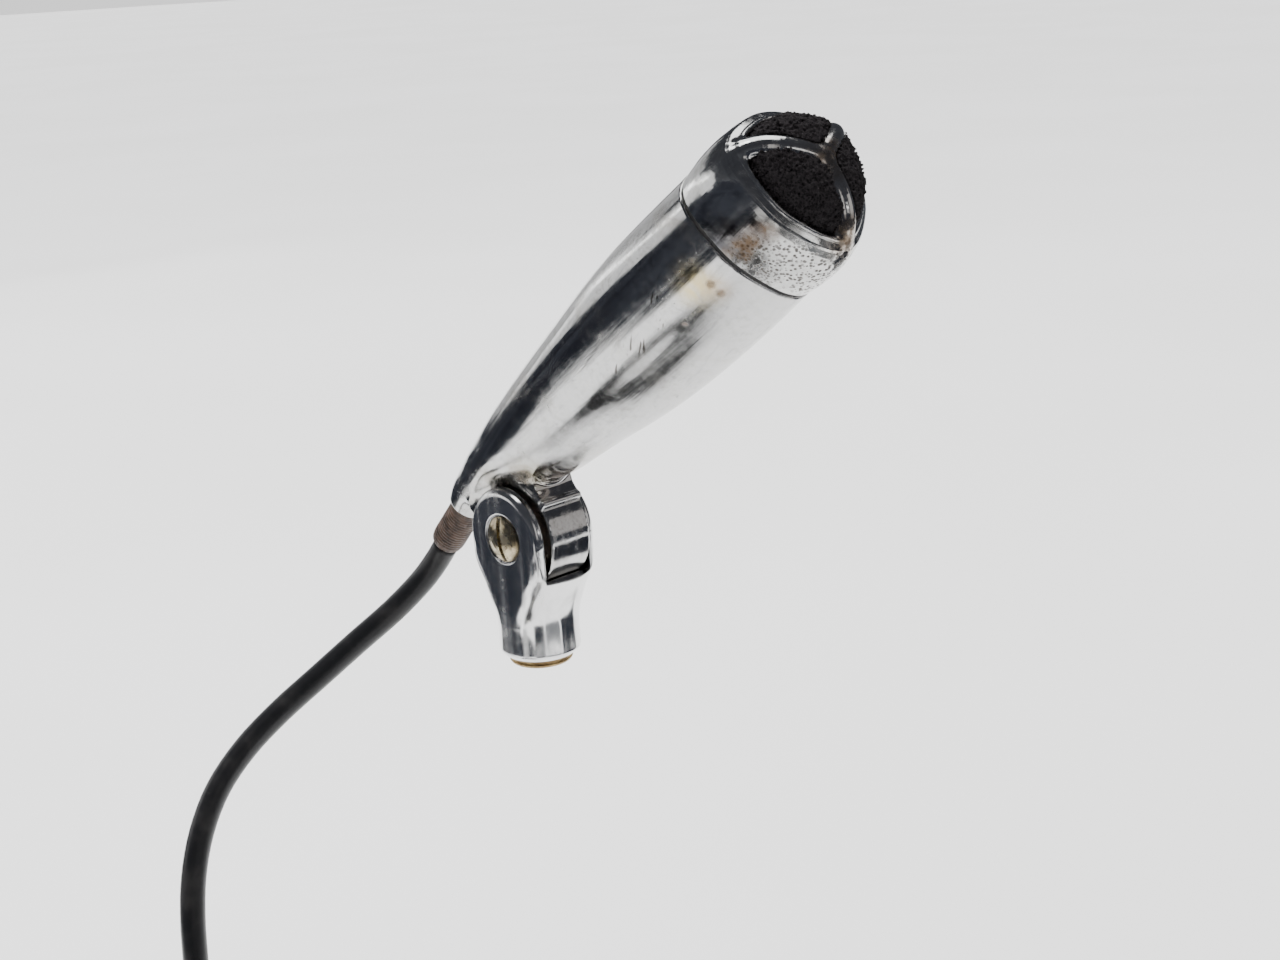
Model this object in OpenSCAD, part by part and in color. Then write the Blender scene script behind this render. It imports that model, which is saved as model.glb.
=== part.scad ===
// Slim polished desk and stand microphone on a forked swivel, with an attached cord.
// All sizes in millimetres. +Z is up. The origin is the mouth of the stand socket,
// on the stand's axis. The swivel axis runs along Y and the head points to +X.

/* [Body] */
// Length of the body shell, from the swivel pin to the seam with the grille head
body_len = 109.2; // [100:0.2:118]
// Mean radius of the rounded triangle section at the seam
seam_r = 16.5; // [15.5:0.1:17.5]
// Wall thickness of the cast shell
wall = 1.7; // [1.2:0.1:2.2]
// How strongly the section is triangular
tri = 0.08; // [0.02:0.01:0.1]

/* [Grille head] */
// Distance from the swivel pin to the middle of the grille hub
hub_len = 133.4; // [131:0.2:136]
// Mean radius of the head at its widest ring
head_r = 17.1; // [16.5:0.1:17.6]
// Thickness of the spokes and of the rim
grille_t = 2.4; // [1.8:0.1:3]
// Width of one rib
spoke_w = 4.8; // [3.8:0.1:5.2]
// Mean radius of the opening that the ribs cross
window_r = 13.3; // [12.6:0.1:13.8]

/* [Swivel] */
// Height of the swivel pin over the mouth of the stand socket
pivot_h = 33; // [32:0.5:38]
// Width over the two ears
fork_w = 19; // [18.4:0.1:20]
// Width of the slot between the ears
slot_w = 13.9; // [13.2:0.1:14.4]
// Width of the knuckle that turns in the slot
knuckle_w = 11.8; // [10.5:0.1:11.9]
// Radius of the knuckle
knuckle_r = 14; // [13:0.1:14.2]
// Radius of the turned barrel of the fork
barrel_r = 9.9; // [9.4:0.1:10.6]
// Radius of the swivel pin
pin_r = 3; // [2.4:0.1:3.4]
// Radius of the screw head
screw_head_r = 5.75; // [5:0.05:5.9]

/* [Stand socket] */
// Outside radius of the brass thread adapter
adapter_r = 7.9; // [7.6:0.05:8.1]
// Radius of the socket wall in the adapter
socket_r = 3.97; // [3.9:0.01:4.8]
// Length of the socket wall
socket_l = 13; // [10:0.5:15]

/* [Cord] */
// Diameter of the cord
cord_d = 6.4; // [5.8:0.1:6.6]
// Length of the metal gland outside the tail
gland_l = 16.4; // [14:0.2:17]
// Radius of the gland
gland_r = 4.25; // [4:0.05:4.4]

/* [Hidden] */

$fn = 64;
eps = 0.01;
// Stored tilt of the body above horizontal, in degrees
tilt = 37.5;
// Height of the head's axis over the swivel pin, across the body
head_v = 16.3;
sharp = 0.25 * tri;
// Middle of the tail's end face, and how far the gland droops from the body's axis
tail_u = -17;
tail_v = 16;
droop = 10.6;
npts = 48;
chrome_c = [0.78, 0.78, 0.80];
steel_c = [0.60, 0.61, 0.63];
brass_c = [0.72, 0.56, 0.30];
black_c = [0.08, 0.08, 0.08];

// Sections of the body: distance along it, height of the centre, mean radius,
// triangle factor, corner sharpening, and the flattening of the lower half
body_st = [
    [-19, 15.9, 4.9, 0, 0, 1],
    [-14, 17.0, 5.8, 0, 0, 0.93],
    [-9, 17.2, 6.6, 0, 0, 0.82],
    [-3, 17.3, 7.8, 0.01, 0, 0.70],
    [3, 17.3, 8.8, 0.02, 0.002, 0.65],
    [10, 17.1, 10.1, 0.035, 0.006, 0.86],
    [18, 16.9, 11.3, 0.05, 0.01, 1],
    [35, 16.7, 13.2, 0.07, 0.015, 1],
    [55, 16.4, 15.2, tri, sharp, 1],
    [78, 16.4, seam_r + 0.3, tri, sharp, 1],
    [95, 16.3, seam_r + 0.4, tri, sharp, 1],
    [body_len, head_v, seam_r, tri, sharp, 1]
];

function sec_r(s, a) = s[2] * (1 - s[3] * cos(3 * a) + s[4] * cos(6 * a));
function sec_pt(s, a) = [s[0], sec_r(s, a) * sin(a),
                         s[1] + sec_r(s, a) * cos(a) * (cos(a) < 0 ? s[5] : 1)];
function smooth4(a, b, c, d, t) =
    0.5 * (2 * b + (c - a) * t + (2 * a - 5 * b + 4 * c - d) * t * t
           + (3 * b - a - 3 * c + d) * t * t * t);
function refine(st, m) = [
    for (i = [0 : len(st) - 2]) for (j = [0 : m - 1])
        smooth4(st[max(i - 1, 0)], st[i], st[i + 1], st[min(i + 2, len(st) - 1)], j / m),
    st[len(st) - 1]
];
function inset(st, w) = [for (s = st) [s[0], s[1], s[2] - w, s[3], s[4], s[5]]];

// Closed skin through a list of sections, flat at both ends
module skin(st, n = npts) {
    m = len(st);
    polyhedron(
        points = [for (s = st) for (j = [0 : n - 1]) sec_pt(s, 360 * j / n)],
        faces = concat(
            [for (i = [0 : m - 2]) for (j = [0 : n - 1])
                [i * n + (j + 1) % n, (i + 1) * n + (j + 1) % n, (i + 1) * n + j]],
            [for (i = [0 : m - 2]) for (j = [0 : n - 1])
                [i * n + (j + 1) % n, (i + 1) * n + j, i * n + j]],
            [[for (j = [0 : n - 1]) n - 1 - j]],
            [[for (j = [0 : n - 1]) (m - 1) * n + j]]),
        convexity = 6);
}

// Dome of the head's ribs; in is how far the curve lies inside the chrome
dome_u = 117.2;
dome_p = 3.0;
function dome_r(a, in) = (head_r - in) * pow(1 - pow(sin(a), dome_p), 1 / dome_p);
function dome_x(a, in) = dome_u + (hub_len - in - dome_u) * sin(a);
function corner(a) = 1 + (tri + sharp) * (1 - 0.5 * sin(a));
rib_r = spoke_w / 2;

// Frames of reference: the body, the head's axis, and the gland
module body_frame() translate([0, 0, pivot_h]) rotate([0, -tilt, 0]) children();
module axis_frame() body_frame() translate([0, 0, head_v]) rotate([0, 90, 0]) children();
module gland_frame() translate([tail_u, 0, tail_v]) rotate([0, -(90 + droop), 0]) children();
module across(w) rotate([90, 0, 0]) translate([0, 0, -w / 2]) linear_extrude(w) children();
module front_view(u0, u1) translate([u0, 0, head_v]) rotate([90, 0, 90]) linear_extrude(u1 - u0) children();

module ring(r_in, r_out, z0, z1) translate([0, 0, z0]) difference() {
    cylinder(r = r_out, h = z1 - z0);
    translate([0, 0, -1]) cylinder(r = r_in, h = z1 - z0 + 2);
}
// A straight round wire between two points
module wire(a, b, r) {
    v = b - a;
    l = norm(v);
    translate(a) rotate([0, acos(v[2] / l), atan2(v[1], v[0])]) cylinder(r = r, h = l);
}

// ---- Stand side: fork, adapter and pin ----

module fork_turning() rotate_extrude($fn = 96) polygon([
    [0, -pivot_h + 2], [8.7, -pivot_h + 2], [9.3, -pivot_h + 2.2], [9.7, -pivot_h + 2.7],
    [barrel_r, -pivot_h + 3.4], [barrel_r, -22.5], [10.05, -21], [10.4, -19.2], [10.95, -17.3],
    [11.7, -15], [12.5, -12.8], [13.4, -10.9], [14.3, -9], [14.95, -6.5], [15.3, -3],
    [15.3, -1], [0, -1]]);

module ear_disc() rotate([90, 0, 0]) rotate_extrude($fn = 96) polygon([
    [0, -fork_w / 2], [11.4, -fork_w / 2], [11.75, -fork_w / 2 + 0.12], [12.05, -fork_w / 2 + 0.4],
    [12.25, -fork_w / 2 + 0.85], [12.35, -fork_w / 2 + 1.5], [12.35, fork_w / 2 - 1.5],
    [12.25, fork_w / 2 - 0.85], [12.05, fork_w / 2 - 0.4], [11.75, fork_w / 2 - 0.12],
    [11.4, fork_w / 2], [0, fork_w / 2]]);

// Outline of the cheeks from the front: flat sides that run out into the barrel
module cheek_outline() rotate([90, 0, 90]) translate([0, 0, -20]) linear_extrude(40) polygon([
    for (m = [1, -1]) for (q = m > 0 ? [0, 1, 2, 3, 4, 5] : [5, 4, 3, 2, 1, 0])
        let (e = [[fork_w / 2, 0], [fork_w / 2, -13.5], [fork_w / 2 + 0.12, -16], [barrel_r - 0.05, -18.5],
                  [barrel_r + 0.4, -20.5], [barrel_r + 0.4, -40]][q]) [m * e[0], e[1]]]);

module clevis() color(chrome_c) translate([0, 0, pivot_h]) difference() {
    union() {
        ear_disc();
        intersection() {
            fork_turning();
            cheek_outline();
            union() {
                translate([-12.35, -15, -40]) cube([24.7, 30, 40]);
                translate([-20, -20, -40]) cube([40, 40, 30.6]);
            }
        }
    }
    // round slot for the knuckle, open above the lips
    rotate([90, 0, 0]) cylinder(r = knuckle_r + 0.8, h = slot_w, center = true, $fn = 96);
    translate([-20, -slot_w / 2, -9.4]) cube([40, slot_w, 30]);
    // socket for the adapter
    translate([0, 0, -pivot_h - 1]) cylinder(r = adapter_r, h = socket_l + 1.4);
    // pin holes, countersunk and slightly recessed on both outer faces
    rotate([90, 0, 0]) cylinder(r = pin_r + 0.04, h = 30, center = true);
    for (m = [0, 1]) mirror([0, m, 0]) translate([0, -fork_w / 2, 0]) rotate([-90, 0, 0]) {
        translate([0, 0, -1]) cylinder(r = screw_head_r + 0.3, h = 1.5);
        translate([0, 0, 0.48]) cylinder(r1 = screw_head_r - 0.35, r2 = pin_r + 0.04, h = 1.6);
    }
}

module thread_adapter() color(brass_c) difference() {
    rotate_extrude() polygon([
        [0, 0], [adapter_r - 0.9, 0], [adapter_r - 0.35, 0.35], [adapter_r - 0.35, 0.55],
        [adapter_r, 0.8], [adapter_r - 0.35, 1.05], [adapter_r - 0.35, 1.25], [adapter_r, 1.5],
        [adapter_r, socket_l - 0.6], [adapter_r - 0.6, socket_l], [0, socket_l]]);
    translate([0, 0, -1]) cylinder(r = socket_r, h = socket_l + 2);
}

// Domed slotted head that sits in the recess of an ear, its inner end towards +Z
module pin_head() {
    rotate_extrude() polygon([
        [0, -1.15], [1.6, -1.07], [3.0, -0.83], [4.2, -0.47], [5.1, -0.08], [screw_head_r - 0.12, 0.25],
        [screw_head_r, 0.5], [screw_head_r - 0.4, 0.5], [pin_r, 2.05], [0, 2.05]]);
}
module head_slot() translate([-0.6, -8, -3]) cube([1.2, 16, 3.1]);

module pivot_screw() color([0.66, 0.62, 0.50]) translate([0, 0, pivot_h]) difference() {
    translate([0, -fork_w / 2, 0]) rotate([-90, 0, 0]) union() {
        pin_head();
        translate([0, 0, 1.9]) cylinder(r = pin_r, h = fork_w - 2.6);
    }
    translate([0, -fork_w / 2, 0]) rotate([-90, 0, 0]) rotate([0, 0, -7]) head_slot();
}

module pivot_nut() color([0.66, 0.62, 0.50]) translate([0, 0, pivot_h]) difference() {
    translate([0, fork_w / 2, 0]) rotate([90, 0, 0]) pin_head();
    translate([0, fork_w / 2, 0]) rotate([90, 0, 0]) rotate([0, 0, 25]) head_slot();
    rotate([-90, 0, 0]) cylinder(r = pin_r, h = fork_w / 2 - 0.7);
}

module fibre_washer(s) color([0.16, 0.13, 0.10]) translate([0, 0, pivot_h])
    rotate([s * 90, 0, 0]) ring(pin_r + 0.2, 10.8, knuckle_w / 2 + 0.05, slot_w / 2);
module washer_near() fibre_washer(1);
module washer_far() fibre_washer(-1);

// ---- Body side: shell, knuckle and head ----

// Knuckle and neck, seen along the swivel axis
module knuckle() {
    rotate([90, 0, 0]) cylinder(r = knuckle_r, h = knuckle_w, center = true, $fn = 96);
    across(knuckle_w) polygon([
        [0, 0], [14.6, 0], [15.2, 0.5], [15.0, 1.2], [15.0, 4.4], [15.6, 6.2], [17.5, 8],
        [21, 9.4], [21, 14], [-9, 14], [-10.2, 12.6], [-9.9, 9.9]]);
    // bead along the front edge of the neck
    translate([14.75, 0, 0.9]) rotate([90, 0, 0]) cylinder(r = 0.8, h = knuckle_w, center = true, $fn = 24);
}

module body_shell() color(chrome_c) body_frame() difference() {
    union() {
        skin(refine(body_st, 3));
        knuckle();
    }
    // hollow inside, open to the head
    skin(concat(
        refine(inset([for (i = [2 : len(body_st) - 1]) body_st[i]], wall), 3),
        [[body_len + 2, head_v, seam_r - wall, tri, sharp, 1]]));
    // running bore of the knuckle
    rotate([90, 0, 0]) cylinder(r = pin_r + 0.06, h = 30, center = true);
    // tail faced off square to the gland, and drilled for it
    gland_frame() {
        translate([-10, -10, 0]) cube([20, 20, 12]);
        translate([0, 0, -14]) cylinder(r = gland_r - 0.55, h = 16);
    }
}

module outline(r, k = 1) polygon([for (j = [0 : 71]) let (a = 5 * j + 2.3, s = [0, 0, r, k * tri, k * sharp, 1])
    [sec_r(s, a) * sin(a), sec_r(s, a) * cos(a)]]);

module seam_gasket() color(black_c) body_frame() front_view(body_len, body_len + 0.8) difference() {
    outline(seam_r - 0.45);
    outline(seam_r - wall - 0.1);
}

// One section of the head: distance, mean radius, and what is left of the triangle
function head_st(q) = [q[0], head_v, q[1], tri * q[2], sharp * q[2], 1];

// Three round ribs that rise from the corners of the rim and meet at the hub
module ribs(g = 0) {
    for (b = [60, 180, 300]) tube([for (a = [10, 22, 34, 45, 55, 64, 72, 80, 88])
        let (q = dome_r(a, rib_r) * corner(a))
            [dome_x(a, rib_r), q * sin(b), head_v + q * cos(b)]], 2 * (rib_r + g), 11);
    translate([hub_len - rib_r - 0.25, 0, head_v]) rotate([7, 0, 0]) sphere(r = rib_r + 0.3 + g, $fn = 27);
}

module grille_ring() color(chrome_c) body_frame() resize([0, 0, 0]) {
    difference() {
        union() {
            skin([for (q = [[body_len + 0.8, seam_r - 0.1, 1], [113.5, (seam_r + head_r) / 2, 1],
                [117.2, head_r, 1], [120.5, head_r - 0.15, 0.94], [123, head_r - 0.45, 0.82],
                [124.5, head_r - 0.85, 0.74], [125.4, head_r - 1.4, 0.72], [125.9, head_r - 2.1, 0.72],
                [126.15, head_r - 3.0, 0.74], [126.2, window_r - 0.6, 0.76]]) head_st(q)]);
            front_view(95, body_len + 1.2) outline(seam_r - wall - 0.2);
        }
        skin([for (q = [[94, seam_r - wall - 1.6, 1], [112, seam_r - wall - 1.6, 1],
            [117.2, head_r - grille_t, 1], [122, head_r - grille_t - 0.3, 0.9],
            [124.2, window_r - 0.4, 0.8]]) head_st(q)]);
        front_view(123, 140) outline(window_r, 0.8);
    }
    ribs();
}

// Open slots in the foam that the ribs and the hub lie in
module rib_slots() {
    translate([0, 0, head_v]) for (b = [60, 180, 300]) rotate([-b, 0, 0])
        across(spoke_w + 0.3) polygon([
            [128, -1], [128, 0.5], [127.6, 4], [125.6, 9], [121, 12.2], [116.8, 13], [116.8, 20], [140, 20], [140, -1]]);
    translate([127.5, 0, head_v]) rotate([0, 90, 0]) cylinder(r = rib_r + 0.55, h = 12, $fn = 41);
}

module foam_screen() color(black_c) body_frame() resize([0, 0, 0]) difference() {
    skin([for (q = [[113.6, seam_r - wall - 2.2], [117.2, window_r - 0.3], [126.2, window_r - 0.25],
        [127.9, window_r - 0.1], [129.3, window_r - 0.55], [130.6, window_r - 1.8],
        [131.7, window_r - 3.7], [132.5, window_r - 6.2], [132.95, window_r - 8.8], [133.1, window_r - 12]])
            head_st([q[0], q[1], 0.78])], 44);
    rib_slots();
    // hollow behind the foam, over the capsule
    translate([110, 0, head_v]) rotate([0, 90, 0]) cylinder(r = 9.5, h = 8);
}

// ---- Gland and the cord inside the tail ----

module cable_gland() color([0.36, 0.28, 0.22]) body_frame() gland_frame() difference() {
    rotate_extrude() polygon([
        [0, -6], [gland_r - 0.6, -6], [gland_r - 0.6, 0], [gland_r - 0.1, 0], [gland_r, 0.3],
        [gland_r, gland_l - 1.6], [gland_r - 0.35, gland_l - 0.7], [gland_r - 0.9, gland_l], [0, gland_l]]);
    translate([0, 0, -7]) cylinder(r = cord_d / 2 - 0.02, h = gland_l + 10);
}

module cord_inner() color(black_c) body_frame() gland_frame()
    translate([0, 0, -30]) cylinder(r = cord_d / 2 - 0.05, h = 30 + gland_l);

module crimp_ring() color(steel_c) body_frame() gland_frame()
    ring(cord_d / 2 - 0.04, cord_d / 2 + 0.5, -24, -19);

module inner_leads() color([0.55, 0.12, 0.10]) body_frame()
    for (k = [-1, 0, 1]) wire([13.2, 1.6 * k, 21.4 + 0.6 * abs(k)], [46.2, 4 * k, 17], 0.5);

module terminal_board() color([0.45, 0.30, 0.16]) body_frame() difference() {
    translate([48, -6.5, 9]) cube([1.6, 13, 12]);
    for (k = [-1, 0, 1]) translate([47, 4 * k, 17]) rotate([0, 90, 0]) cylinder(r = 0.8, h = 4, $fn = 24);
}

module solder_lugs() color(brass_c) body_frame()
    for (k = [-1, 0, 1]) translate([46.6, 4 * k, 17]) rotate([0, 90, 0]) cylinder(r = 0.8, h = 5, $fn = 24);

module chassis_strip() color(steel_c) body_frame() difference() {
    union() {
        translate([32, -5, 7.8]) cube([60, 10, 1.2]);
        translate([90.8, -5, 7.8]) cube([1.2, 10, 13]);
    }
    translate([90, 0, head_v]) rotate([0, 90, 0]) cylinder(r = 1.3, h = 4, $fn = 24);
}

module pot_screw() color(steel_c) axis_frame() {
    translate([0, 0, 89.4]) cylinder(r = 2.3, h = 1.4, $fn = 32);
    translate([0, 0, 90.6]) cylinder(r = 1.2, h = 3.6, $fn = 24);
}

module transformer_core() color([0.30, 0.31, 0.33]) body_frame() translate([62, 0, head_v]) difference() {
    translate([0, -6.5, -7.3]) cube([17, 13, 14.6]);
    for (s = [-1, 1]) translate([4, -10, s * 3.9 - 1.3]) cube([9, 20, 2.6]);
}

module transformer_coil() color([0.62, 0.36, 0.16]) body_frame() translate([66.1, 0, head_v]) difference() {
    translate([0, -8.6, -5.1]) cube([8.8, 17.2, 10.2]);
    translate([-1, -6.55, -2.65]) cube([12, 13.1, 5.3]);
}

module transformer_leads() color([0.15, 0.35, 0.15]) body_frame() {
    for (s = [-1, 1]) {
        wire([52.2, 4.7 * s, 17], [65.4, 8.1 * s, 17.5], 0.5);
        wire([75.5, 7.8 * s, 17.5], [91.4, 7.6 * s, 17.5], 0.5);
    }
}

// ---- Capsule, all turned on the head's axis ----

module magnet_pot() color(steel_c) axis_frame() difference() {
    translate([0, 0, 92]) cylinder(r = 11, h = 12);
    translate([0, 0, 94.5]) cylinder(r = 9.2, h = 12);
    translate([0, 0, 91]) cylinder(r = 1.25, h = 5, $fn = 24);
}
module magnet() color([0.35, 0.35, 0.37]) axis_frame() translate([0, 0, 94.5]) cylinder(r = 6.5, h = 6.5);
module pole_piece() color(steel_c) axis_frame() {
    translate([0, 0, 101]) cylinder(r = 6.5, h = 1);
    translate([0, 0, 101.5]) cylinder(r = 5.4, h = 4.7);
}
module top_plate() color(steel_c) axis_frame() ring(6.35, 11, 104, 106.2);
module spacer_ring() color([0.45, 0.30, 0.16]) axis_frame() ring(9.2, 10.15, 106.2, 107.9);
module voice_coil() color([0.72, 0.42, 0.20]) axis_frame() ring(5.6, 6.1, 103.4, 108.6);
module diaphragm() color([0.80, 0.78, 0.66]) axis_frame() rotate_extrude() polygon([
    [0, 110.15], [2, 110.0], [4, 109.55], [5.4, 108.95], [6.0, 108.6], [10, 108.6], [10, 108.85],
    [6.2, 108.85], [5.6, 109.2], [4.1, 109.8], [2, 110.27], [0, 110.42]]);
module resonator_cap() color(steel_c) axis_frame() difference() {
    translate([0, 0, 106.2]) cylinder(r = 11, h = 6);
    translate([0, 0, 105]) cylinder(r = 10.2, h = 6.3);
    translate([0, 0, 110]) cylinder(r = 1.2, h = 4, $fn = 24);
    for (a = [0 : 60 : 300]) rotate([0, 0, a]) translate([5, 0, 110]) cylinder(r = 1, h = 4, $fn = 24);
    for (a = [15 : 30 : 345]) rotate([0, 0, a]) translate([8.2, 0, 110]) cylinder(r = 0.8, h = 4, $fn = 24);
}
module damping_felt() color([0.30, 0.30, 0.28]) axis_frame() translate([0, 0, 112.25]) cylinder(r = 9.3, h = 0.9);
module rubber_mount() color(black_c) axis_frame() ring(11.02, 12.35, 96, 104);

// ---- Cord: route of its centre from the gland to the coil, then to the plug ----

floor_z = -127;
coil_c = [-4, -96];
coil_in = 29;
coil_out = 55;
coil_h = 26;
junction_r = 52;
drop_route = [
    [-34.2, 0, 22.7], [-37.4, -0.8, 18.2], [-41.0, -3.4, 12.6], [-47.0, -9.2, 4.6],
    [-53.6, -16.4, -3.2], [-60.0, -25.4, -11.8], [-65.6, -34.8, -20.0], [-69.0, -44.2, -28.0],
    [-69.8, -53.0, -36.4], [-68.6, -60.0, -45.8], [-66.4, -65.0, -55.6], [-63.8, -68.2, -65.2],
    [-61.2, -70.4, -75.4], [-59.6, -72.0, -85.6], [-58.8, -73.8, -96.4], [-59.4, -78.4, -108.8],
    [-61.4, -88.8, -119.4], [-62.3, -102.4, -123.8], [-58.3, -117.2, -123.8], [-50.2, -127.6, -123.8],
    [-38.7, -134.5, -123.8]
];
tail_route = [
    [-44.3, -128.9, -104.2], [-35.0, -139.6, -102.8], [-22.5, -146.9, -99.4],
    [-8.5, -147.6, -95.6], [4.5, -142.6, -94.0]
];
plug_at = [4.5, -142.6, -94.0];
plug_turn = 42;

function unit(v) = v / norm(v);
function along(p, i) = unit(p[min(i + 1, len(p) - 1)] - p[max(i - 1, 0)]);
function side_of(t) = unit(cross(t, abs(t[2]) > 0.9 ? [0, 1, 0] : [0, 0, 1]));
// Frame of each ring, carried along the route so that the tube doesn't twist
function carried(s, t) = unit(s - (s * t) * t);
function frames(p, i = 0, prev = undef) = i >= len(p) ? [] :
    let (t = along(p, i), s = prev == undef ? side_of(t) : carried(prev, t))
        concat([[s, cross(t, s)]], frames(p, i + 1, s));

module tube(route, d, n = 10) {
    p = refine(route, 2);
    f = frames(p);
    m = len(p);
    polyhedron(
        points = [for (i = [0 : m - 1]) for (j = [0 : n - 1])
            p[i] + d / 2 * (cos(360 * j / n) * f[i][0] + sin(360 * j / n) * f[i][1])],
        faces = concat(
            [for (i = [0 : m - 2]) for (j = [0 : n - 1])
                [i * n + j, (i + 1) * n + j, (i + 1) * n + (j + 1) % n]],
            [for (i = [0 : m - 2]) for (j = [0 : n - 1])
                [i * n + j, (i + 1) * n + (j + 1) % n, i * n + (j + 1) % n]],
            [[for (j = [0 : n - 1]) j]],
            [[for (j = [0 : n - 1]) (m - 1) * n + n - 1 - j]]),
        convexity = 6);
}
// Round zone about the swivel axis in which the cord turns with the body
module swing_zone(r) translate([0, 0, pivot_h]) rotate([90, 0, 0])
    cylinder(r = r, h = 60, center = true, $fn = 96);

module cord_lead() color(black_c) intersection() {
    tube([for (i = [0 : 4]) drop_route[i]], cord_d);
    swing_zone(junction_r);
}
module cord_drop() color(black_c) difference() {
    tube([for (i = [2 : len(drop_route) - 1]) drop_route[i]], cord_d);
    swing_zone(junction_r + 0.4);
}
// A box across the hank's section where the band goes round it
module at_tie(x0, x1, w, z0, z1) translate([coil_c[0], coil_c[1], floor_z]) rotate([0, 0, 60])
    translate([x0, -w / 2, z0]) cube([x1 - x0, w, z1 - z0]);
module cord_coil() color(black_c) difference() {
    translate([coil_c[0], coil_c[1], floor_z]) rotate_extrude($fn = 96)
        translate([coil_in, 0]) square([coil_out - coil_in, coil_h]);
    at_tie(coil_in - 3, coil_out + 3, 10.4, -1, 0.85);
}
module coil_tie() color([0.20, 0.20, 0.22]) difference() {
    at_tie(coil_in - 1.4, coil_out + 0.9, 10, 0, coil_h + 0.9);
    at_tie(coil_in - 0.6, coil_out + 0.1, 12, 0.8, coil_h + 0.1);
}
module cord_tail() color(black_c) tube(tail_route, cord_d);

module plug_frame() translate(plug_at) rotate([0, 0, plug_turn]) rotate([0, 90, 0]) children();
module plug_handle() color(black_c) plug_frame() difference() {
    rotate_extrude() polygon([
        [0, 0], [4.6, 0], [5.2, 1.2], [6.0, 8], [6.8, 12], [7, 14], [7, 34], [6.6, 35], [0, 35]]);
    translate([0, 0, 14]) cylinder(r = 5.6, h = 30);
    translate([0, 0, -1]) cylinder(r = cord_d / 2 - 0.1, h = 20);
}
module plug_collar() color(chrome_c) plug_frame() {
    translate([0, 0, 28]) cylinder(r = 5.6, h = 7);
    translate([0, 0, 35]) cylinder(r = 6.2, h = 3);
}
module plug_sleeve() color(chrome_c) plug_frame() ring(1.6, 3.175, 38, 57);
module plug_insulator() color(black_c) plug_frame() ring(1.5, 3.1, 57, 58.2);
module plug_tip() color(chrome_c) plug_frame() {
    translate([0, 0, 38]) cylinder(r = 1.5, h = 20.5);
    translate([0, 0, 58.2]) rotate_extrude() polygon([
        [0, 0], [3.1, 0], [3.1, 3.2], [2.3, 4.8], [2.3, 5.4], [3.1, 7], [2.6, 8.6], [1.2, 10], [0, 10.3]]);
}

clevis();
thread_adapter();
pivot_screw();
pivot_nut();
washer_near();
washer_far();
body_shell();
seam_gasket();
grille_ring();
foam_screen();
cable_gland();
cord_inner();
crimp_ring();
inner_leads();
terminal_board();
solder_lugs();
chassis_strip();
transformer_core();
transformer_coil();
transformer_leads();
pot_screw();
magnet_pot();
magnet();
pole_piece();
top_plate();
spacer_ring();
resonator_cap();
damping_felt();
rubber_mount();
voice_coil();
diaphragm();
cord_lead();
cord_drop();
cord_coil();
coil_tie();
cord_tail();
plug_handle();
plug_collar();
plug_sleeve();
plug_insulator();
plug_tip();
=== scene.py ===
# Slim chrome microphone on its forked swivel: the visual model, in metres, in the CAD frame.
import math

import bpy
import numpy as np
from mathutils import Matrix, Vector


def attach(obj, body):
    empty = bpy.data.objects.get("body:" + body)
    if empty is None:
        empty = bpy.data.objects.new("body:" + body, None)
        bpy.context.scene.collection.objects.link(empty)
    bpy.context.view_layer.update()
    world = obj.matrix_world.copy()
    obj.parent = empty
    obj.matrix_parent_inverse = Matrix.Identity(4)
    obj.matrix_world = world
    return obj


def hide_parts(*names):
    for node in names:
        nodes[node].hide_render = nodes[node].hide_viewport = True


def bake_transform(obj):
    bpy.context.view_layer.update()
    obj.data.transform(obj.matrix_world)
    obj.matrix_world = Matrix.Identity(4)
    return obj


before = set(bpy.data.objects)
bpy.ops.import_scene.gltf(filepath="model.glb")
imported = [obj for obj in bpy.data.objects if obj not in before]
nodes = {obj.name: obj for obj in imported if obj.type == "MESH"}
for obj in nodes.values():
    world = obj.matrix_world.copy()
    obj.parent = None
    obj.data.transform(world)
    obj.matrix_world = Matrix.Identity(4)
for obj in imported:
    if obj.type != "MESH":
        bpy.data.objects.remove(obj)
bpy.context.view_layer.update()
MM = 0.001
scene = bpy.context.scene

# ---------------------------------------------------------------- camera
cam = bpy.data.cameras.new("camera")
cam.lens, cam.sensor_width, cam.sensor_fit = 53.4375, 36.0, "HORIZONTAL"
cam.clip_start, cam.clip_end = 0.02, 60.0
cam_obj = bpy.data.objects.new("camera", cam)
scene.collection.objects.link(cam_obj)
right, up, back = (0.698864, 0.713117, -0.05528), (-0.162418, 0.233489, 0.95870), (0.69657, -0.661023, 0.27900)
place = (0.3340, -0.2804, 0.1703)
cam_obj.matrix_world = Matrix([[right[i], up[i], back[i], place[i]] for i in range(3)] + [[0, 0, 0, 1]])
scene.camera = cam_obj

# ---------------------------------------------------------------- frames of the CAD, in mm
PIVOT_H, HEAD_V, TILT, DROOP = 33.0, 16.3, math.radians(37.5), math.radians(10.6)
FLOOR_Z = -127.0
CT, ST = math.cos(TILT), math.sin(TILT)


def body_to_world(p):
    """(u, y, v) of the microphone's own frame to the row frame."""
    u, y, v = p[..., 0], p[..., 1], p[..., 2]
    return np.stack([u * CT - v * ST, y, u * ST + v * CT + PIVOT_H], -1)


def turn_body(n):
    u, y, v = n[..., 0], n[..., 1], n[..., 2]
    return np.stack([u * CT - v * ST, y, u * ST + v * CT], -1)


def same(p):
    return p


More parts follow.
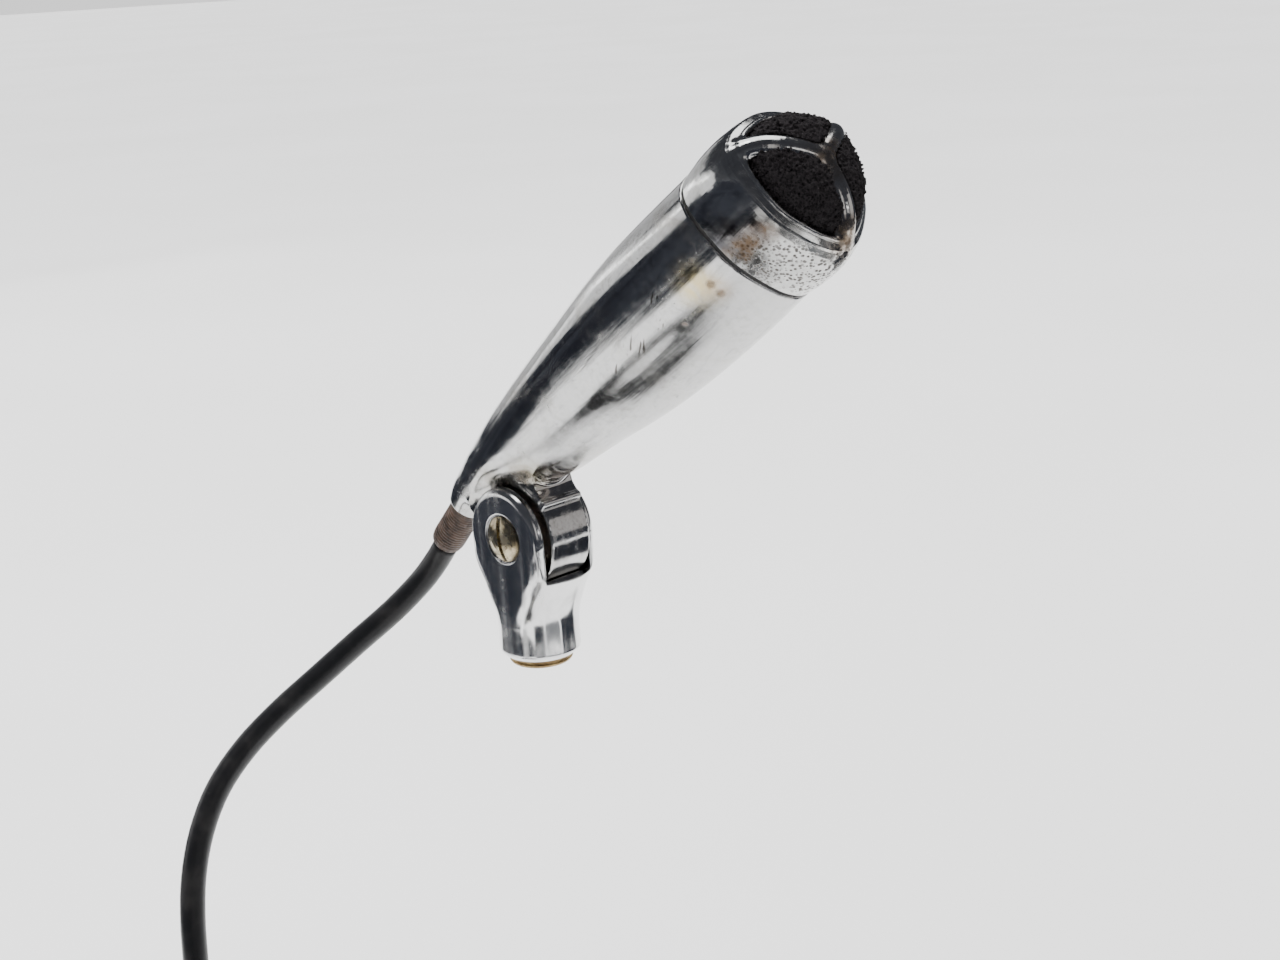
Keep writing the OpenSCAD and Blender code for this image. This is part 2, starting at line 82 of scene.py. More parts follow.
# ---------------------------------------------------------------- mesh helpers
def add_mesh(name, verts, faces, material, normals=None):
    groups = [np.asarray(f, np.int32) for f in (faces if isinstance(faces, list) else [faces])]
    me = bpy.data.meshes.new(name)
    me.vertices.add(len(verts))
    me.vertices.foreach_set("co", (np.asarray(verts, float) * MM).astype(np.float32).ravel())
    corners = np.concatenate([g.ravel() for g in groups])
    totals = np.concatenate([np.full(len(g), g.shape[1], np.int32) for g in groups])
    starts = np.concatenate([[0], np.cumsum(totals)[:-1]]).astype(np.int32)
    me.loops.add(len(corners))
    me.loops.foreach_set("vertex_index", corners)
    me.polygons.add(len(totals))
    me.polygons.foreach_set("loop_start", starts)
    me.update(calc_edges=True)
    me.validate()
    me.polygons.foreach_set("use_smooth", np.ones(len(me.polygons), bool))
    if normals is not None:
        me.normals_split_custom_set_from_vertices(np.asarray(normals, float).tolist())
    me.update()
    obj = bpy.data.objects.new(name, me)
    scene.collection.objects.link(obj)
    if material is not None:
        me.materials.append(material)
    return obj


def surface(f, lo, hi, h, coarse=4, steps=4):
    """Fine quad mesh of the surface f = 0 in a box: one point in each cell that it crosses, moved onto it. Returns points, faces and the surface's own normals."""
    lo, hi = np.asarray(lo, float), np.asarray(hi, float)
    n = np.ceil((hi - lo) / (h * coarse)).astype(int)
    ax = [lo[i] + h * coarse * np.arange(n[i] + 1) for i in range(3)]
    rough = f(*np.meshgrid(*ax, indexing="ij"))
    fine = [lo[i] + h * np.arange(n[i] * coarse + 1) for i in range(3)]
    near = [np.minimum((np.arange(len(a)) + coarse // 2) // coarse, n[i]) for i, a in enumerate(fine)]
    val = rough[np.ix_(*near)].astype(np.float32)
    ask = (np.abs(rough) < 1.7 * coarse * h)[np.ix_(*near)]
    i, j, k = np.nonzero(ask)
    for a in range(0, len(i), 400_000):
        s = slice(a, a + 400_000)
        val[i[s], j[s], k[s]] = f(fine[0][i[s]], fine[1][j[s]], fine[2][k[s]])
    neg = val < 0
    c = neg[:-1, :-1, :-1].astype(np.int8)
    total = c.copy()
    for d in ((0, 0, 1), (0, 1, 0), (0, 1, 1), (1, 0, 0), (1, 0, 1), (1, 1, 0), (1, 1, 1)):
        total += neg[d[0]:neg.shape[0] - 1 + d[0], d[1]:neg.shape[1] - 1 + d[1], d[2]:neg.shape[2] - 1 + d[2]]
    active = (total > 0) & (total < 8)
    ci, cj, ck = np.nonzero(active)
    index = np.full(active.shape, -1, np.int32)
    index[ci, cj, ck] = np.arange(len(ci))
    corner = {}
    for d in np.ndindex(2, 2, 2):
        corner[d] = val[ci + d[0], cj + d[1], ck + d[2]]
    acc, cnt = np.zeros((len(ci), 3)), np.zeros(len(ci))
    for d in np.ndindex(2, 2, 2):
        for axis in range(3):
            if d[axis]:
                continue
            e = list(d)
            e[axis] = 1
            a, b = corner[d], corner[tuple(e)]
            cross = (a < 0) != (b < 0)
            t = np.where(cross, a / np.where(cross, a - b, 1), 0)
            q = np.tile(np.array(d, float), (len(ci), 1))
            q[:, axis] += t
            acc += q * cross[:, None]
            cnt += cross
    p = lo + h * (np.stack([ci, cj, ck], 1) + acc / np.maximum(cnt, 1)[:, None])
    quads = []
    for axis in range(3):
        b, c2 = (axis + 1) % 3, (axis + 2) % 3
        sl_a, sl_b = [slice(None)] * 3, [slice(None)] * 3
        sl_a[axis], sl_b[axis] = slice(0, -1), slice(1, None)
        first, second = neg[tuple(sl_a)], neg[tuple(sl_b)]
        e = np.stack(np.nonzero(first != second), 1)
        e = e[(e[:, b] > 0) & (e[:, c2] > 0) & (e[:, b] < active.shape[b]) & (e[:, c2] < active.shape[c2])]
        flip = first[e[:, 0], e[:, 1], e[:, 2]]
        ring = []
        for db, dc in ((1, 1), (0, 1), (0, 0), (1, 0)):
            q = e.copy()
            q[:, b] -= db
            q[:, c2] -= dc
            ring.append(index[q[:, 0], q[:, 1], q[:, 2]])
        ring = np.stack(ring, 1)
        ring[~flip] = ring[~flip][:, ::-1]
        quads.append(ring)
    faces = np.concatenate(quads)
    faces = faces[(faces >= 0).all(1)]

    def grad(p, eps):
        g = np.empty_like(p)
        for a in range(3):
            d = np.zeros(3)
            d[a] = eps
            g[:, a] = (f(*(p + d).T) - f(*(p - d).T)) / (2 * eps)
        return g
    start = p.copy()
    for _ in range(steps):
        g = grad(p, 0.02)
        p = p - g * (f(*p.T) / np.maximum((g * g).sum(1), 0.05))[:, None]
        move = p - start
        far = np.linalg.norm(move, axis=1)
        p = start + move * np.minimum(1, 0.75 * h / np.maximum(far, 1e-9))[:, None]
    g = grad(p, 0.12 * h + 0.02)
    normal = g / np.maximum(np.linalg.norm(g, axis=1), 1e-9)[:, None]
    return p, faces, normal


def solid(name, f, lo, hi, h, material, to_world=same, turn=same, move=(0, 0, 0), steps=4, smooth_normals=True):
    p, faces, normal = surface(f, lo, hi, h, steps=steps)
    return add_mesh(name, to_world(p) + np.array(move, float), faces, material,
                    turn(normal) if smooth_normals else None)


# ---------------------------------------------------------------- distance fields, in mm
def smin(a, b, k):
    h = np.maximum(k - np.abs(a - b), 0) / k
    return np.minimum(a, b) - h * h * h * k / 6


def smax(a, b, k):
    h = np.maximum(k - np.abs(a - b), 0) / k
    return np.maximum(a, b) + h * h * h * k / 6


def spline(x, y):
    """Natural cubic spline, read from a fine table."""
    x, y = np.asarray(x, float), np.asarray(y, float)
    n, h = len(x), np.diff(x)
    a, r = np.eye(n), np.zeros(n)
    for i in range(1, n - 1):
        a[i, i - 1:i + 2] = h[i - 1], 2 * (h[i - 1] + h[i]), h[i]
        r[i] = 6 * ((y[i + 1] - y[i]) / h[i] - (y[i] - y[i - 1]) / h[i - 1])
    m = np.linalg.solve(a, r)
    t = np.linspace(x[0], x[-1], 4001)
    i = np.clip(np.searchsorted(x, t, side="right") - 1, 0, n - 2)
    p, q = x[i + 1] - t, t - x[i]
    s = (m[i] * p ** 3 + m[i + 1] * q ** 3) / (6 * h[i]) + (y[i] / h[i] - m[i] * h[i] / 6) * p \
        + (y[i + 1] / h[i] - m[i + 1] * h[i] / 6) * q
    return lambda v: np.interp(v, t, s)


def poly(px, py, points):
    """Signed distance to a closed polygon."""
    pts = np.asarray(points, float)
    nxt = np.roll(pts, -1, 0)
    d2 = np.full(np.shape(px), 1e9)
    inside = np.zeros(np.shape(px), bool)
    for (ax, ay), (bx, by) in zip(pts, nxt):
        ex, ey = bx - ax, by - ay
        wx, wy = px - ax, py - ay
        t = np.clip((wx * ex + wy * ey) / (ex * ex + ey * ey + 1e-12), 0, 1)
        d2 = np.minimum(d2, (wx - ex * t) ** 2 + (wy - ey * t) ** 2)
        hit = (ay > py) != (by > py)
        if ey:
            hit &= px < (py - ay) * ex / ey + ax
        else:
            hit &= False
        inside ^= hit
    return np.sqrt(d2) * np.where(inside, -1, 1)


def capsules(x, y, z, path, r):
    """Distance to a round tube along a line of points."""
    best = np.full(np.shape(x), 1e9)
    for a, b in zip(path[:-1], path[1:]):
        e = b - a
        t = np.clip(((x - a[0]) * e[0] + (y - a[1]) * e[1] + (z - a[2]) * e[2]) / (e @ e), 0, 1)
        best = np.minimum(best, (x - a[0] - e[0] * t) ** 2 + (y - a[1] - e[1] * t) ** 2 + (z - a[2] - e[2] * t) ** 2)
    return np.sqrt(best) - r


def lobes(y, w, k3, k6):
    rho = np.sqrt(y * y + w * w) + 1e-9
    c = w / rho
    c3 = (4 * c * c - 3) * c
    return rho, 1 - k3 * c3 + k6 * (2 * c3 * c3 - 1)


rng = np.random.default_rng(7)
LATTICE = rng.random((64, 64, 64)).astype(np.float32)


def value_noise(x, y, z, size):
    """Smooth noise from -1 to 1 with cells of that size."""
    q = [np.asarray(a, float) / size + 1000 for a in (x, y, z)]
    i = [np.floor(a).astype(int) for a in q]
    t = [a - b for a, b in zip(q, i)]
    t = [a * a * a * (a * (a * 6 - 15) + 10) for a in t]
    out = 0
    for d in np.ndindex(2, 2, 2):
        w = 1
        for a in range(3):
            w = w * (t[a] if d[a] else 1 - t[a])
        out = out + w * LATTICE[(i[0] + d[0]) % 64, (i[1] + d[1]) % 64, (i[2] + d[2]) % 64]
    return out * 2 - 1


def cells(x, y, z, size):
    """Distance to the nearest of one random point in each cell, in cells."""
    q = [np.asarray(a, float) / size + 1000 for a in (x, y, z)]
    i = [np.floor(a).astype(int) for a in q]
    best = np.full(np.shape(q[0]), 9.0)
    for d in np.ndindex(3, 3, 3):
        j = [(i[a] + d[a] - 1) for a in range(3)]
        m = [a % 64 for a in j]
        px = j[0] + LATTICE[m[0], m[1], m[2]]
        py = j[1] + LATTICE[m[1], m[2], m[0]]
        pz = j[2] + LATTICE[m[2], m[0], m[1]]
        best = np.minimum(best, (q[0] - px) ** 2 + (q[1] - py) ** 2 + (q[2] - pz) ** 2)
    return np.sqrt(best)


# ---------------------------------------------------------------- materials
class Mat:
    """A short way to write a node material. Patterns read Object coordinates, in metres."""

    def __init__(self, name):
        self.m = bpy.data.materials.new(name)
        self.m.use_nodes = True
        self.t = self.m.node_tree
        self.t.nodes.clear()
        self.out = self.t.nodes.new("ShaderNodeOutputMaterial")
        self.b = self.t.nodes.new("ShaderNodeBsdfPrincipled")
        self.link(self.b.outputs[0], self.out.inputs[0])
        self.co = self.t.nodes.new("ShaderNodeTexCoord").outputs["Object"]

    def link(self, a, b):
        self.t.links.new(a, b)

    def put(self, socket, v):
        if isinstance(v, bpy.types.NodeSocket):
            self.link(v, socket)
        elif isinstance(v, (tuple, list)) and len(v) == 3 and socket.type == "RGBA":
            socket.default_value = (*v, 1)
        else:
            socket.default_value = v

    def set(self, **kw):
        for k, v in kw.items():
            self.put(self.b.inputs[k.replace("_", " ")], v)

    def mapped(self, scale=(1, 1, 1), turn=(0, 0, 0), move=(0, 0, 0)):
        n = self.t.nodes.new("ShaderNodeMapping")
        n.inputs["Scale"].default_value = scale
        n.inputs["Rotation"].default_value = turn
        n.inputs["Location"].default_value = move
        self.link(self.co, n.inputs["Vector"])
        return n.outputs[0]

    def turned(self, scale, degrees):
        """Coordinates turned about Y first and scaled after, so that x runs along the case."""
        a = self.mapped(turn=(0, math.radians(degrees), 0))
        n = self.t.nodes.new("ShaderNodeMapping")
        n.inputs["Scale"].default_value = scale
        self.link(a, n.inputs["Vector"])
        return n.outputs[0]

    def noise(self, scale, detail=3.0, rough=0.55, at=None, warp=0.0):
        n = self.t.nodes.new("ShaderNodeTexNoise")
        n.inputs["Scale"].default_value = scale
        n.inputs["Detail"].default_value = detail
        n.inputs["Roughness"].default_value = rough
        n.inputs["Distortion"].default_value = warp
        self.link(at or self.co, n.inputs["Vector"])
        return n.outputs["Fac"]

    def cell(self, scale, at=None, feature="F1", chance=False):
        n = self.t.nodes.new("ShaderNodeTexVoronoi")
        n.feature = feature
        n.inputs["Scale"].default_value = scale
        self.link(at or self.co, n.inputs["Vector"])
        return (n.outputs["Distance"], n.outputs["Color"]) if chance else n.outputs["Distance"]

    def step(self, v, a, b, c=0.0, d=1.0):
        n = self.t.nodes.new("ShaderNodeMapRange")
        n.interpolation_type = "SMOOTHSTEP"
        self.put(n.inputs["Value"], v)
        for k, x in zip(("From Min", "From Max", "To Min", "To Max"), (a, b, c, d)):
            n.inputs[k].default_value = x
        return n.outputs[0]

    def math(self, op, a, b=0.5, clamp=False):
        n = self.t.nodes.new("ShaderNodeMath")
        n.operation = op
        n.use_clamp = clamp
        self.put(n.inputs[0], a)
        self.put(n.inputs[1], b)
        return n.outputs[0]

    def mix(self, fac, a, b):
        n = self.t.nodes.new("ShaderNodeMix")
        n.data_type = "RGBA"
        self.put(n.inputs["Factor"], fac)
        self.put(n.inputs["A"] if n.inputs["A"].type == "RGBA" else n.inputs[6], a)
        self.put(n.inputs["B"] if n.inputs["B"].type == "RGBA" else n.inputs[7], b)
        return n.outputs[2]

    def near(self, centre, r0, r1, squash=(1, 1, 1)):
        """1 within r0 of a point (mm, row frame) and 0 beyond r1."""
        sub = self.t.nodes.new("ShaderNodeVectorMath")
        sub.operation = "SUBTRACT"
        self.link(self.co, sub.inputs[0])
        sub.inputs[1].default_value = [c * MM for c in centre]
        mul = self.t.nodes.new("ShaderNodeVectorMath")
        mul.operation = "MULTIPLY"
        self.link(sub.outputs[0], mul.inputs[0])
        mul.inputs[1].default_value = squash
        ln = self.t.nodes.new("ShaderNodeVectorMath")
        ln.operation = "LENGTH"
        self.link(mul.outputs[0], ln.inputs[0])
        return self.step(ln.outputs["Value"], r0 * MM, r1 * MM, 1.0, 0.0)

    def bump(self, height, strength=0.3, distance=0.0002, normal=None):
        n = self.t.nodes.new("ShaderNodeBump")
        n.inputs["Strength"].default_value = strength
        n.inputs["Distance"].default_value = distance
        self.put(n.inputs["Height"], height)
        if normal is not None:
            self.link(normal, n.inputs["Normal"])
        return n.outputs[0]


def chrome(name, tint=(0.82, 0.83, 0.84), rough=0.075, tarnish=0.5, pits=0.8, stains=(), pitted=(), scratch=0.5,
           tints=(), nicks=(), grain=None, mottle=0.0, groove=0.13):
    """Old chrome plate: bright, with wipe marks, fine pits, brown spots and cloudy tarnish.

    stains are (centre, radius, depth), pitted and nicks (centre, radius), tints (centre, radius, colour, amount)."""
    s = Mat(name)
    cloud = s.noise(48, 5, 0.62, warp=0.6)
    smear = s.noise(160, 4, 0.65, warp=1.2)
    fine = s.noise(420, 3, 0.6)
    dull = s.math("MULTIPLY", s.step(cloud, 0.47, 0.74), tarnish)
    base = s.mix(dull, tint, (0.44, 0.41, 0.36))
    base = s.mix(s.step(smear, 0.46, 0.78, 0.0, 0.34), base, (0.42, 0.42, 0.42))
    if mottle:
        fleck = s.math("MULTIPLY", s.step(s.noise(620, 6, 0.75), 0.44, 0.66), s.step(s.noise(75, 4, 0.6), 0.36, 0.62, 0.25, 1.0))
        hair = s.step(s.noise(1, 3, 0.6, at=s.turned((45, 900, 900), 37.5 + 9)), 0.56, 0.72)
        base = s.mix(s.math("MULTIPLY", fleck, mottle), base, (0.33, 0.32, 0.30))
        base = s.mix(s.math("MULTIPLY", hair, mottle * 0.6), base, (0.30, 0.30, 0.31))
    # tints: colour laid over round patches at given places; besides tarnish, some of them are painted shade and painted
    # reflection
    for c, r, colour, amount in tints:
        m = s.math("MULTIPLY", s.near(c, 0.0, r), s.step(smear, 0.30, 0.62, 0.45, 1.0))
        base = s.mix(s.math("MULTIPLY", m, amount, clamp=True), base, colour)
    # pits: small dark specks, gathered where the plate has gone
    dist, chance = s.cell(1500, chance=True)
    speck = s.math("MULTIPLY", s.step(dist, 0.10, 0.30, 1, 0), s.step(chance, 0.72, 0.80))
    where = s.step(s.noise(38, 3, 0.6), 0.52, 0.72, 0.0, 0.8)
    zone = 0.0
    for c, r in pitted:
        m = s.near(c, r * 0.45, r)
        zone = m if zone == 0.0 else s.math("MAXIMUM", zone, m)
    if zone != 0.0:
        where = s.math("MAXIMUM", where, zone)
    speck = s.math("MULTIPLY", speck, where, clamp=True)
    dist2, chance2 = s.cell(620, chance=True)
    speck2 = s.math("MULTIPLY", s.step(dist2, 0.08, 0.24, 1, 0), s.step(chance2, 0.80, 0.86))
    speck = s.math("MAXIMUM", speck, s.math("MULTIPLY", speck2, where))
    if zone != 0.0:
        dist3, chance3 = s.cell(1250, at=s.mapped(move=(0.013, 0.007, 0.021)), chance=True)
        dense = s.math("MULTIPLY", s.step(dist3, 0.30, 0.52, 1, 0), s.step(chance3, 0.06, 0.22))
        patchy = s.step(s.noise(260, 3, 0.6), 0.26, 0.50)
        speck = s.math("MAXIMUM", speck, s.math("MULTIPLY", s.math("MULTIPLY", dense, patchy), zone))
    base = s.mix(s.math("MULTIPLY", speck, pits), base, (0.09, 0.08, 0.07))
    # brown spots at their places
    stain = 0.0
    for c, r, deep in stains:
        m = s.math("MULTIPLY", s.near(c, r * 0.3, r), s.step(s.noise(330, 7, 0.8), 0.30, 0.66))
        m = s.math("MULTIPLY", m, deep)
        stain = m if stain == 0.0 else s.math("MAXIMUM", stain, m)
    if stain != 0.0:
        base = s.mix(stain, base, (0.17, 0.105, 0.055))
    # scratches: thin streaks in two directions, and short deep nicks at their places
    streak = s.step(s.noise(1, 4, 0.7, at=s.mapped((190, 2600, 190), (0.3, 0.5, 0.5))), 0.60, 0.72)
    streak2 = s.step(s.noise(1, 3, 0.7, at=s.mapped((2400, 160, 160), (0.2, 0.9, 0.1))), 0.63, 0.74)
    marks = s.math("MAXIMUM", streak, streak2)
    nick = 0.0
    for c, r in nicks:
        m = s.near(c, r * 0.5, r)
        nick = m if nick == 0.0 else s.math("MAXIMUM", nick, m)
    if nick != 0.0:
        cut = s.step(s.noise(1, 0, 0.5, at=s.turned((330, 260, 1900), 62)), 0.60, 0.66)
        nick = s.math("MULTIPLY", nick, cut)
        base = s.mix(s.math("MULTIPLY", nick, 0.85), base, (0.08, 0.07, 0.06))
    r = s.math("ADD", s.math("MULTIPLY", s.step(fine, 0.4, 0.75), 0.05), rough)
    r = s.math("ADD", r, s.math("MULTIPLY", dull, 0.24))
    r = s.math("ADD", r, s.math("MULTIPLY", s.step(smear, 0.45, 0.75), 0.06))
    r = s.math("ADD", r, s.math("MULTIPLY", speck, 0.35))
    r = s.math("ADD", r, s.math("MULTIPLY", marks, 0.10 * scratch))
    if stain != 0.0:
        r = s.math("ADD", r, s.math("MULTIPLY", stain, 0.3))
    h = s.math("ADD", s.math("MULTIPLY", s.noise(240, 2, 0.5), 0.35), s.math("MULTIPLY", s.noise(70, 2, 0.5), 1.0))
    n1 = s.bump(h, 0.09, 0.0004)
    if grain is not None:
        # polishing lines that run along the case
        lines = s.noise(1, 4, 0.6, at=s.turned((6, 360, 360), grain))
        n1 = s.bump(lines, groove, 0.00030, n1)
        r = s.math("ADD", r, s.step(lines, 0.42, 0.72, 0.0, 0.13))
    s.set(Base_Color=base, Metallic=1.0, Roughness=r)
    n2 = s.bump(s.math("MULTIPLY", speck, -1.0), 0.35, 0.00008, n1)
    n3 = s.bump(s.math("MULTIPLY", marks, -1.0), 0.10 * scratch, 0.00004, n2)
    s.set(Normal=n3)
    return s.m


def metal(name, colour, dark, rough=0.25, grain=900, patch=90, lathe=0.0):
    s = Mat(name)
    c = s.mix(s.step(s.noise(patch, 4, 0.6), 0.35, 0.75), colour, dark)
    s.set(Base_Color=c, Metallic=1.0)
    r = s.math("ADD", s.math("MULTIPLY", s.noise(grain, 3, 0.6), 0.22), rough - 0.08)
    s.set(Roughness=r, Normal=s.bump(s.noise(grain, 3, 0.6), 0.12, 0.0001))
    return s.m


def plastic(name, colour, other, rough=0.5, grain=800, patch=120, bump=0.15, metallic=0.0, depth=0.0001):
    s = Mat(name)
    c = s.mix(s.step(s.noise(patch, 4, 0.6), 0.35, 0.72), colour, other)
    g = s.noise(grain, 4, 0.65)
    s.set(Base_Color=c, Metallic=metallic, Roughness=s.math("ADD", s.math("MULTIPLY", g, 0.24), rough - 0.12),
          Normal=s.bump(g, bump, depth))
    return s.m


def winding(name, colour, other):
    s = Mat(name)
    w = s.t.nodes.new("ShaderNodeTexWave")
    w.bands_direction = "Z"
    w.inputs["Scale"].default_value = 900
    w.inputs["Distortion"].default_value = 1.5
    s.link(s.co, w.inputs["Vector"])
    s.set(Base_Color=s.mix(w.outputs["Fac"], colour, other), Metallic=0.7, Roughness=0.35,
          Normal=s.bump(w.outputs["Fac"], 0.4, 0.0001))
    return s.m


def foam_material():
    s = Mat("foam_black")
    pore = s.cell(1900)
    # pale specks over the foam: partly dust, partly painted glints off its strands
    dust_and_glints = s.step(s.noise(2300, 3, 0.8), 0.62, 0.78)
    # painted shade: the pores' hollows are painted darker than the strands round them
    c = s.mix(s.step(pore, 0.15, 0.6), (0.0035, 0.003, 0.0035), (0.013, 0.011, 0.012))
    c = s.mix(s.math("MULTIPLY", dust_and_glints, 0.42), c, (0.13, 0.115, 0.115))
    s.set(Base_Color=c, Roughness=s.step(pore, 0.0, 0.7, 0.98, 0.82),
          Normal=s.bump(s.math("ADD", pore, s.noise(3200, 3, 0.7)), 0.6, 0.0003))
    s.b.inputs["Specular IOR Level"].default_value = 0.18
    return s.m


def cord_material():
    s = Mat("cord_rubber")
    g = s.noise(1500, 3, 0.6)
    grey = s.step(s.noise(110, 4, 0.6), 0.45, 0.75)
    c = s.mix(grey, (0.007, 0.007, 0.008), (0.017, 0.016, 0.016))
    scuff = s.step(s.noise(1, 4, 0.7, at=s.mapped((500, 500, 1600))), 0.62, 0.78)
    c = s.mix(s.math("MULTIPLY", scuff, 0.3), c, (0.05, 0.048, 0.047))
    s.set(Base_Color=c, Roughness=s.math("ADD", s.math("MULTIPLY", g, 0.16), s.step(grey, 0, 1, 0.24, 0.38)),
          Normal=s.bump(g, 0.10, 0.0001))
    s.b.inputs["Specular IOR Level"].default_value = 0.38
    return s.m


def gland_material():
    s = Mat("gland_brown")
    blot = s.noise(260, 5, 0.7)
    c = s.mix(s.step(blot, 0.35, 0.62), (0.024, 0.014, 0.010), (0.082, 0.050, 0.034))
    c = s.mix(s.step(s.noise(700, 4, 0.7), 0.58, 0.74), c, (0.15, 0.11, 0.09))
    s.set(Base_Color=c, Metallic=0.25, Roughness=s.step(s.noise(500, 4, 0.7), 0.3, 0.7, 0.34, 0.62),
          Normal=s.bump(s.noise(900, 5, 0.7), 0.45, 0.0002))
    return s.m


def floor_material():
    s = Mat("floor_pale")
    c = s.mix(s.step(s.noise(3, 3, 0.5), 0.3, 0.7), (0.80, 0.80, 0.795), (0.83, 0.83, 0.83))
    s.set(Base_Color=c, Roughness=0.85, Normal=s.bump(s.noise(60, 3, 0.5), 0.02, 0.0005))
    s.b.inputs["Specular IOR Level"].default_value = 0.15
    return s.m


# ---------------------------------------------------------------- the free cord
def p3(*rows):
    return [np.array(r, float) for r in rows]


DROP = p3([-34.2, 0, 22.7], [-37.4, -0.8, 18.2], [-41.0, -3.4, 12.6], [-47.0, -9.2, 4.6],
          [-53.6, -16.4, -3.2], [-60.0, -25.4, -11.8], [-65.6, -34.8, -20.0], [-69.0, -44.2, -28.0],
          [-69.8, -53.0, -36.4], [-68.6, -60.0, -45.8], [-66.4, -65.0, -55.6], [-63.8, -68.2, -65.2],
          [-61.2, -70.4, -75.4], [-59.6, -72.0, -85.6], [-58.8, -73.8, -96.4], [-59.4, -78.4, -108.8],
          [-61.4, -88.8, -119.4], [-62.3, -102.4, -123.8], [-58.3, -117.2, -123.8], [-50.2, -127.6, -123.8],
          [-38.7, -134.5, -123.8])
TAIL = p3([-44.3, -128.9, -104.2], [-35.0, -139.6, -102.8], [-22.5, -146.9, -99.4], [-8.5, -147.6, -95.6],
          [4.5, -142.6, -94.0])
CORD_R = 3.2
COIL_C = (-4.0, -96.0)


def wound():
    """The hank: four layers of four turns, with each step to the next turn or layer in its own zone of 40 degrees."""
    first, zone = 548.0, 40.0
    radii, layers = [51.8, 45.3, 38.8, 32.3], [-123.8, -117.35, -110.9, -104.45]
    moves, climbs = [], []
    for layer in range(4):
        a0 = first - (0 if layer == 0 else 2 * layer * zone)
        moves += [(a0 + 360 * (4 * layer + n), 6.5 * (-1 if layer % 2 == 0 else 1)) for n in range(3)]
        if layer < 3:
            climbs.append((a0 - zone + 360 * (4 * layer + 3), 6.45))
    angle = np.arange(228.0 + 10, 5619.0 - 5, 10.0)
    r, z = np.full(len(angle), radii[0]), np.full(len(angle), layers[0])

    def ease(a, at):
        t = np.clip((a - at) / zone, 0, 1)
        return t * t * (3 - 2 * t)
    for at, by in moves:
        r = r + by * ease(angle, at)
    for at, by in climbs:
        z = z + by * ease(angle, at)
    a = np.radians(angle)
    return list(np.stack([COIL_C[0] + r * np.cos(a), COIL_C[1] + r * np.sin(a), z], 1))


def through(points, per):
    """A smooth line through the points, with per steps between each two."""
    p = [2 * points[0] - points[1]] + points + [2 * points[-1] - points[-2]]
    out = []
    for a, b, c, d in zip(p[:-3], p[1:-2], p[2:-1], p[3:]):
        la, lb, lc = (max(np.linalg.norm(y - x), 1e-6) ** 0.5 for x, y in ((a, b), (b, c), (c, d)))
        m1 = ((b - a) / la - (c - a) / (la + lb) + (c - b) / lb) * lb
        m2 = ((c - b) / lb - (d - b) / (lb + lc) + (d - c) / lc) * lb
        for t in np.arange(per) / per:
            out.append((2 * t ** 3 - 3 * t ** 2 + 1) * b + (t ** 3 - 2 * t ** 2 + t) * m1
                       + (-2 * t ** 3 + 3 * t ** 2) * c + (t ** 3 - t ** 2) * m2)
    out.append(points[-1])
    return out


def tube(name, line, r, sides, material, lumps=0.0):
    line = np.array(line)
    t = np.gradient(line, axis=0)
    t /= np.linalg.norm(t, axis=1)[:, None]
    s = np.zeros_like(line)
    side = np.cross(t[0], (0, 1, 0.2))
    for i in range(len(line)):
        side = side - (side @ t[i]) * t[i]
        side /= np.linalg.norm(side)
        s[i] = side
    w = np.cross(t, s)
    a = 2 * math.pi * np.arange(sides) / sides
    ring = np.cos(a)[None, :, None] * s[:, None] + np.sin(a)[None, :, None] * w[:, None]
    rr = r * (1 + lumps * value_noise(line[:, 0], line[:, 1], line[:, 2], 9.0))
    verts = (line[:, None] + ring * rr[:, None, None]).reshape(-1, 3)
    m = len(line)
    i, j = np.meshgrid(np.arange(m - 1), np.arange(sides), indexing="ij")
    i, j = i.ravel(), j.ravel()
    k = (j + 1) % sides
    quads = np.stack([i * sides + j, i * sides + k, (i + 1) * sides + k, (i + 1) * sides + j], 1)
    caps = [np.arange(sides)[::-1][None], ((m - 1) * sides + np.arange(sides))[None]]
    return add_mesh(name, verts, [quads, *caps], material)


route = through(DROP, 4) + wound() + through(TAIL, 4)
rubber = cord_material()
cord = tube("cord", route, CORD_R, 16, rubber)
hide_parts("cord_lead", "cord_drop", "cord_coil", "cord_tail")
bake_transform(cord)

# ---------------------------------------------------------------- body, neck and knuckle
ST_U = [-19, -14, -9, -3, 3, 10, 18, 35, 55, 78, 95, 109.2]
vc_of = spline(ST_U, [15.9, 17.0, 17.2, 17.3, 17.3, 17.1, 16.9, 16.7, 16.4, 16.4, 16.3, 16.3])
r_of = spline(ST_U, [4.9, 5.8, 6.6, 7.8, 8.8, 10.1, 11.3, 13.2, 15.2, 16.8, 16.9, 16.5])
k3_of = spline(ST_U, [0, 0, 0, 0.01, 0.02, 0.035, 0.05, 0.07, 0.08, 0.08, 0.08, 0.08])
k6_of = spline(ST_U, [0, 0, 0, 0, 0.002, 0.006, 0.01, 0.015, 0.02, 0.02, 0.02, 0.02])
lo_of = spline(ST_U, [1, 0.93, 0.82, 0.70, 0.65, 0.86, 1, 1, 1, 1, 1, 1])
NECK = [[0, 0], [14.6, 0], [15.2, 0.5], [15.0, 1.2], [15.0, 4.4], [15.6, 6.2], [17.5, 8], [21, 9.4], [21, 14],
        [-9, 14], [-10.2, 12.6], [-9.9, 9.9]]


def along_gland(u, y, v):
    """Distance along the gland's axis from the tail's face, and from the axis."""
    d = (-math.cos(DROOP), -math.sin(DROOP))
    du, dv = u + 17.0, v - 16.0
    a = du * d[0] + dv * d[1]
    return a, np.sqrt(np.maximum(du * du + dv * dv - a * a, 0) + y * y)


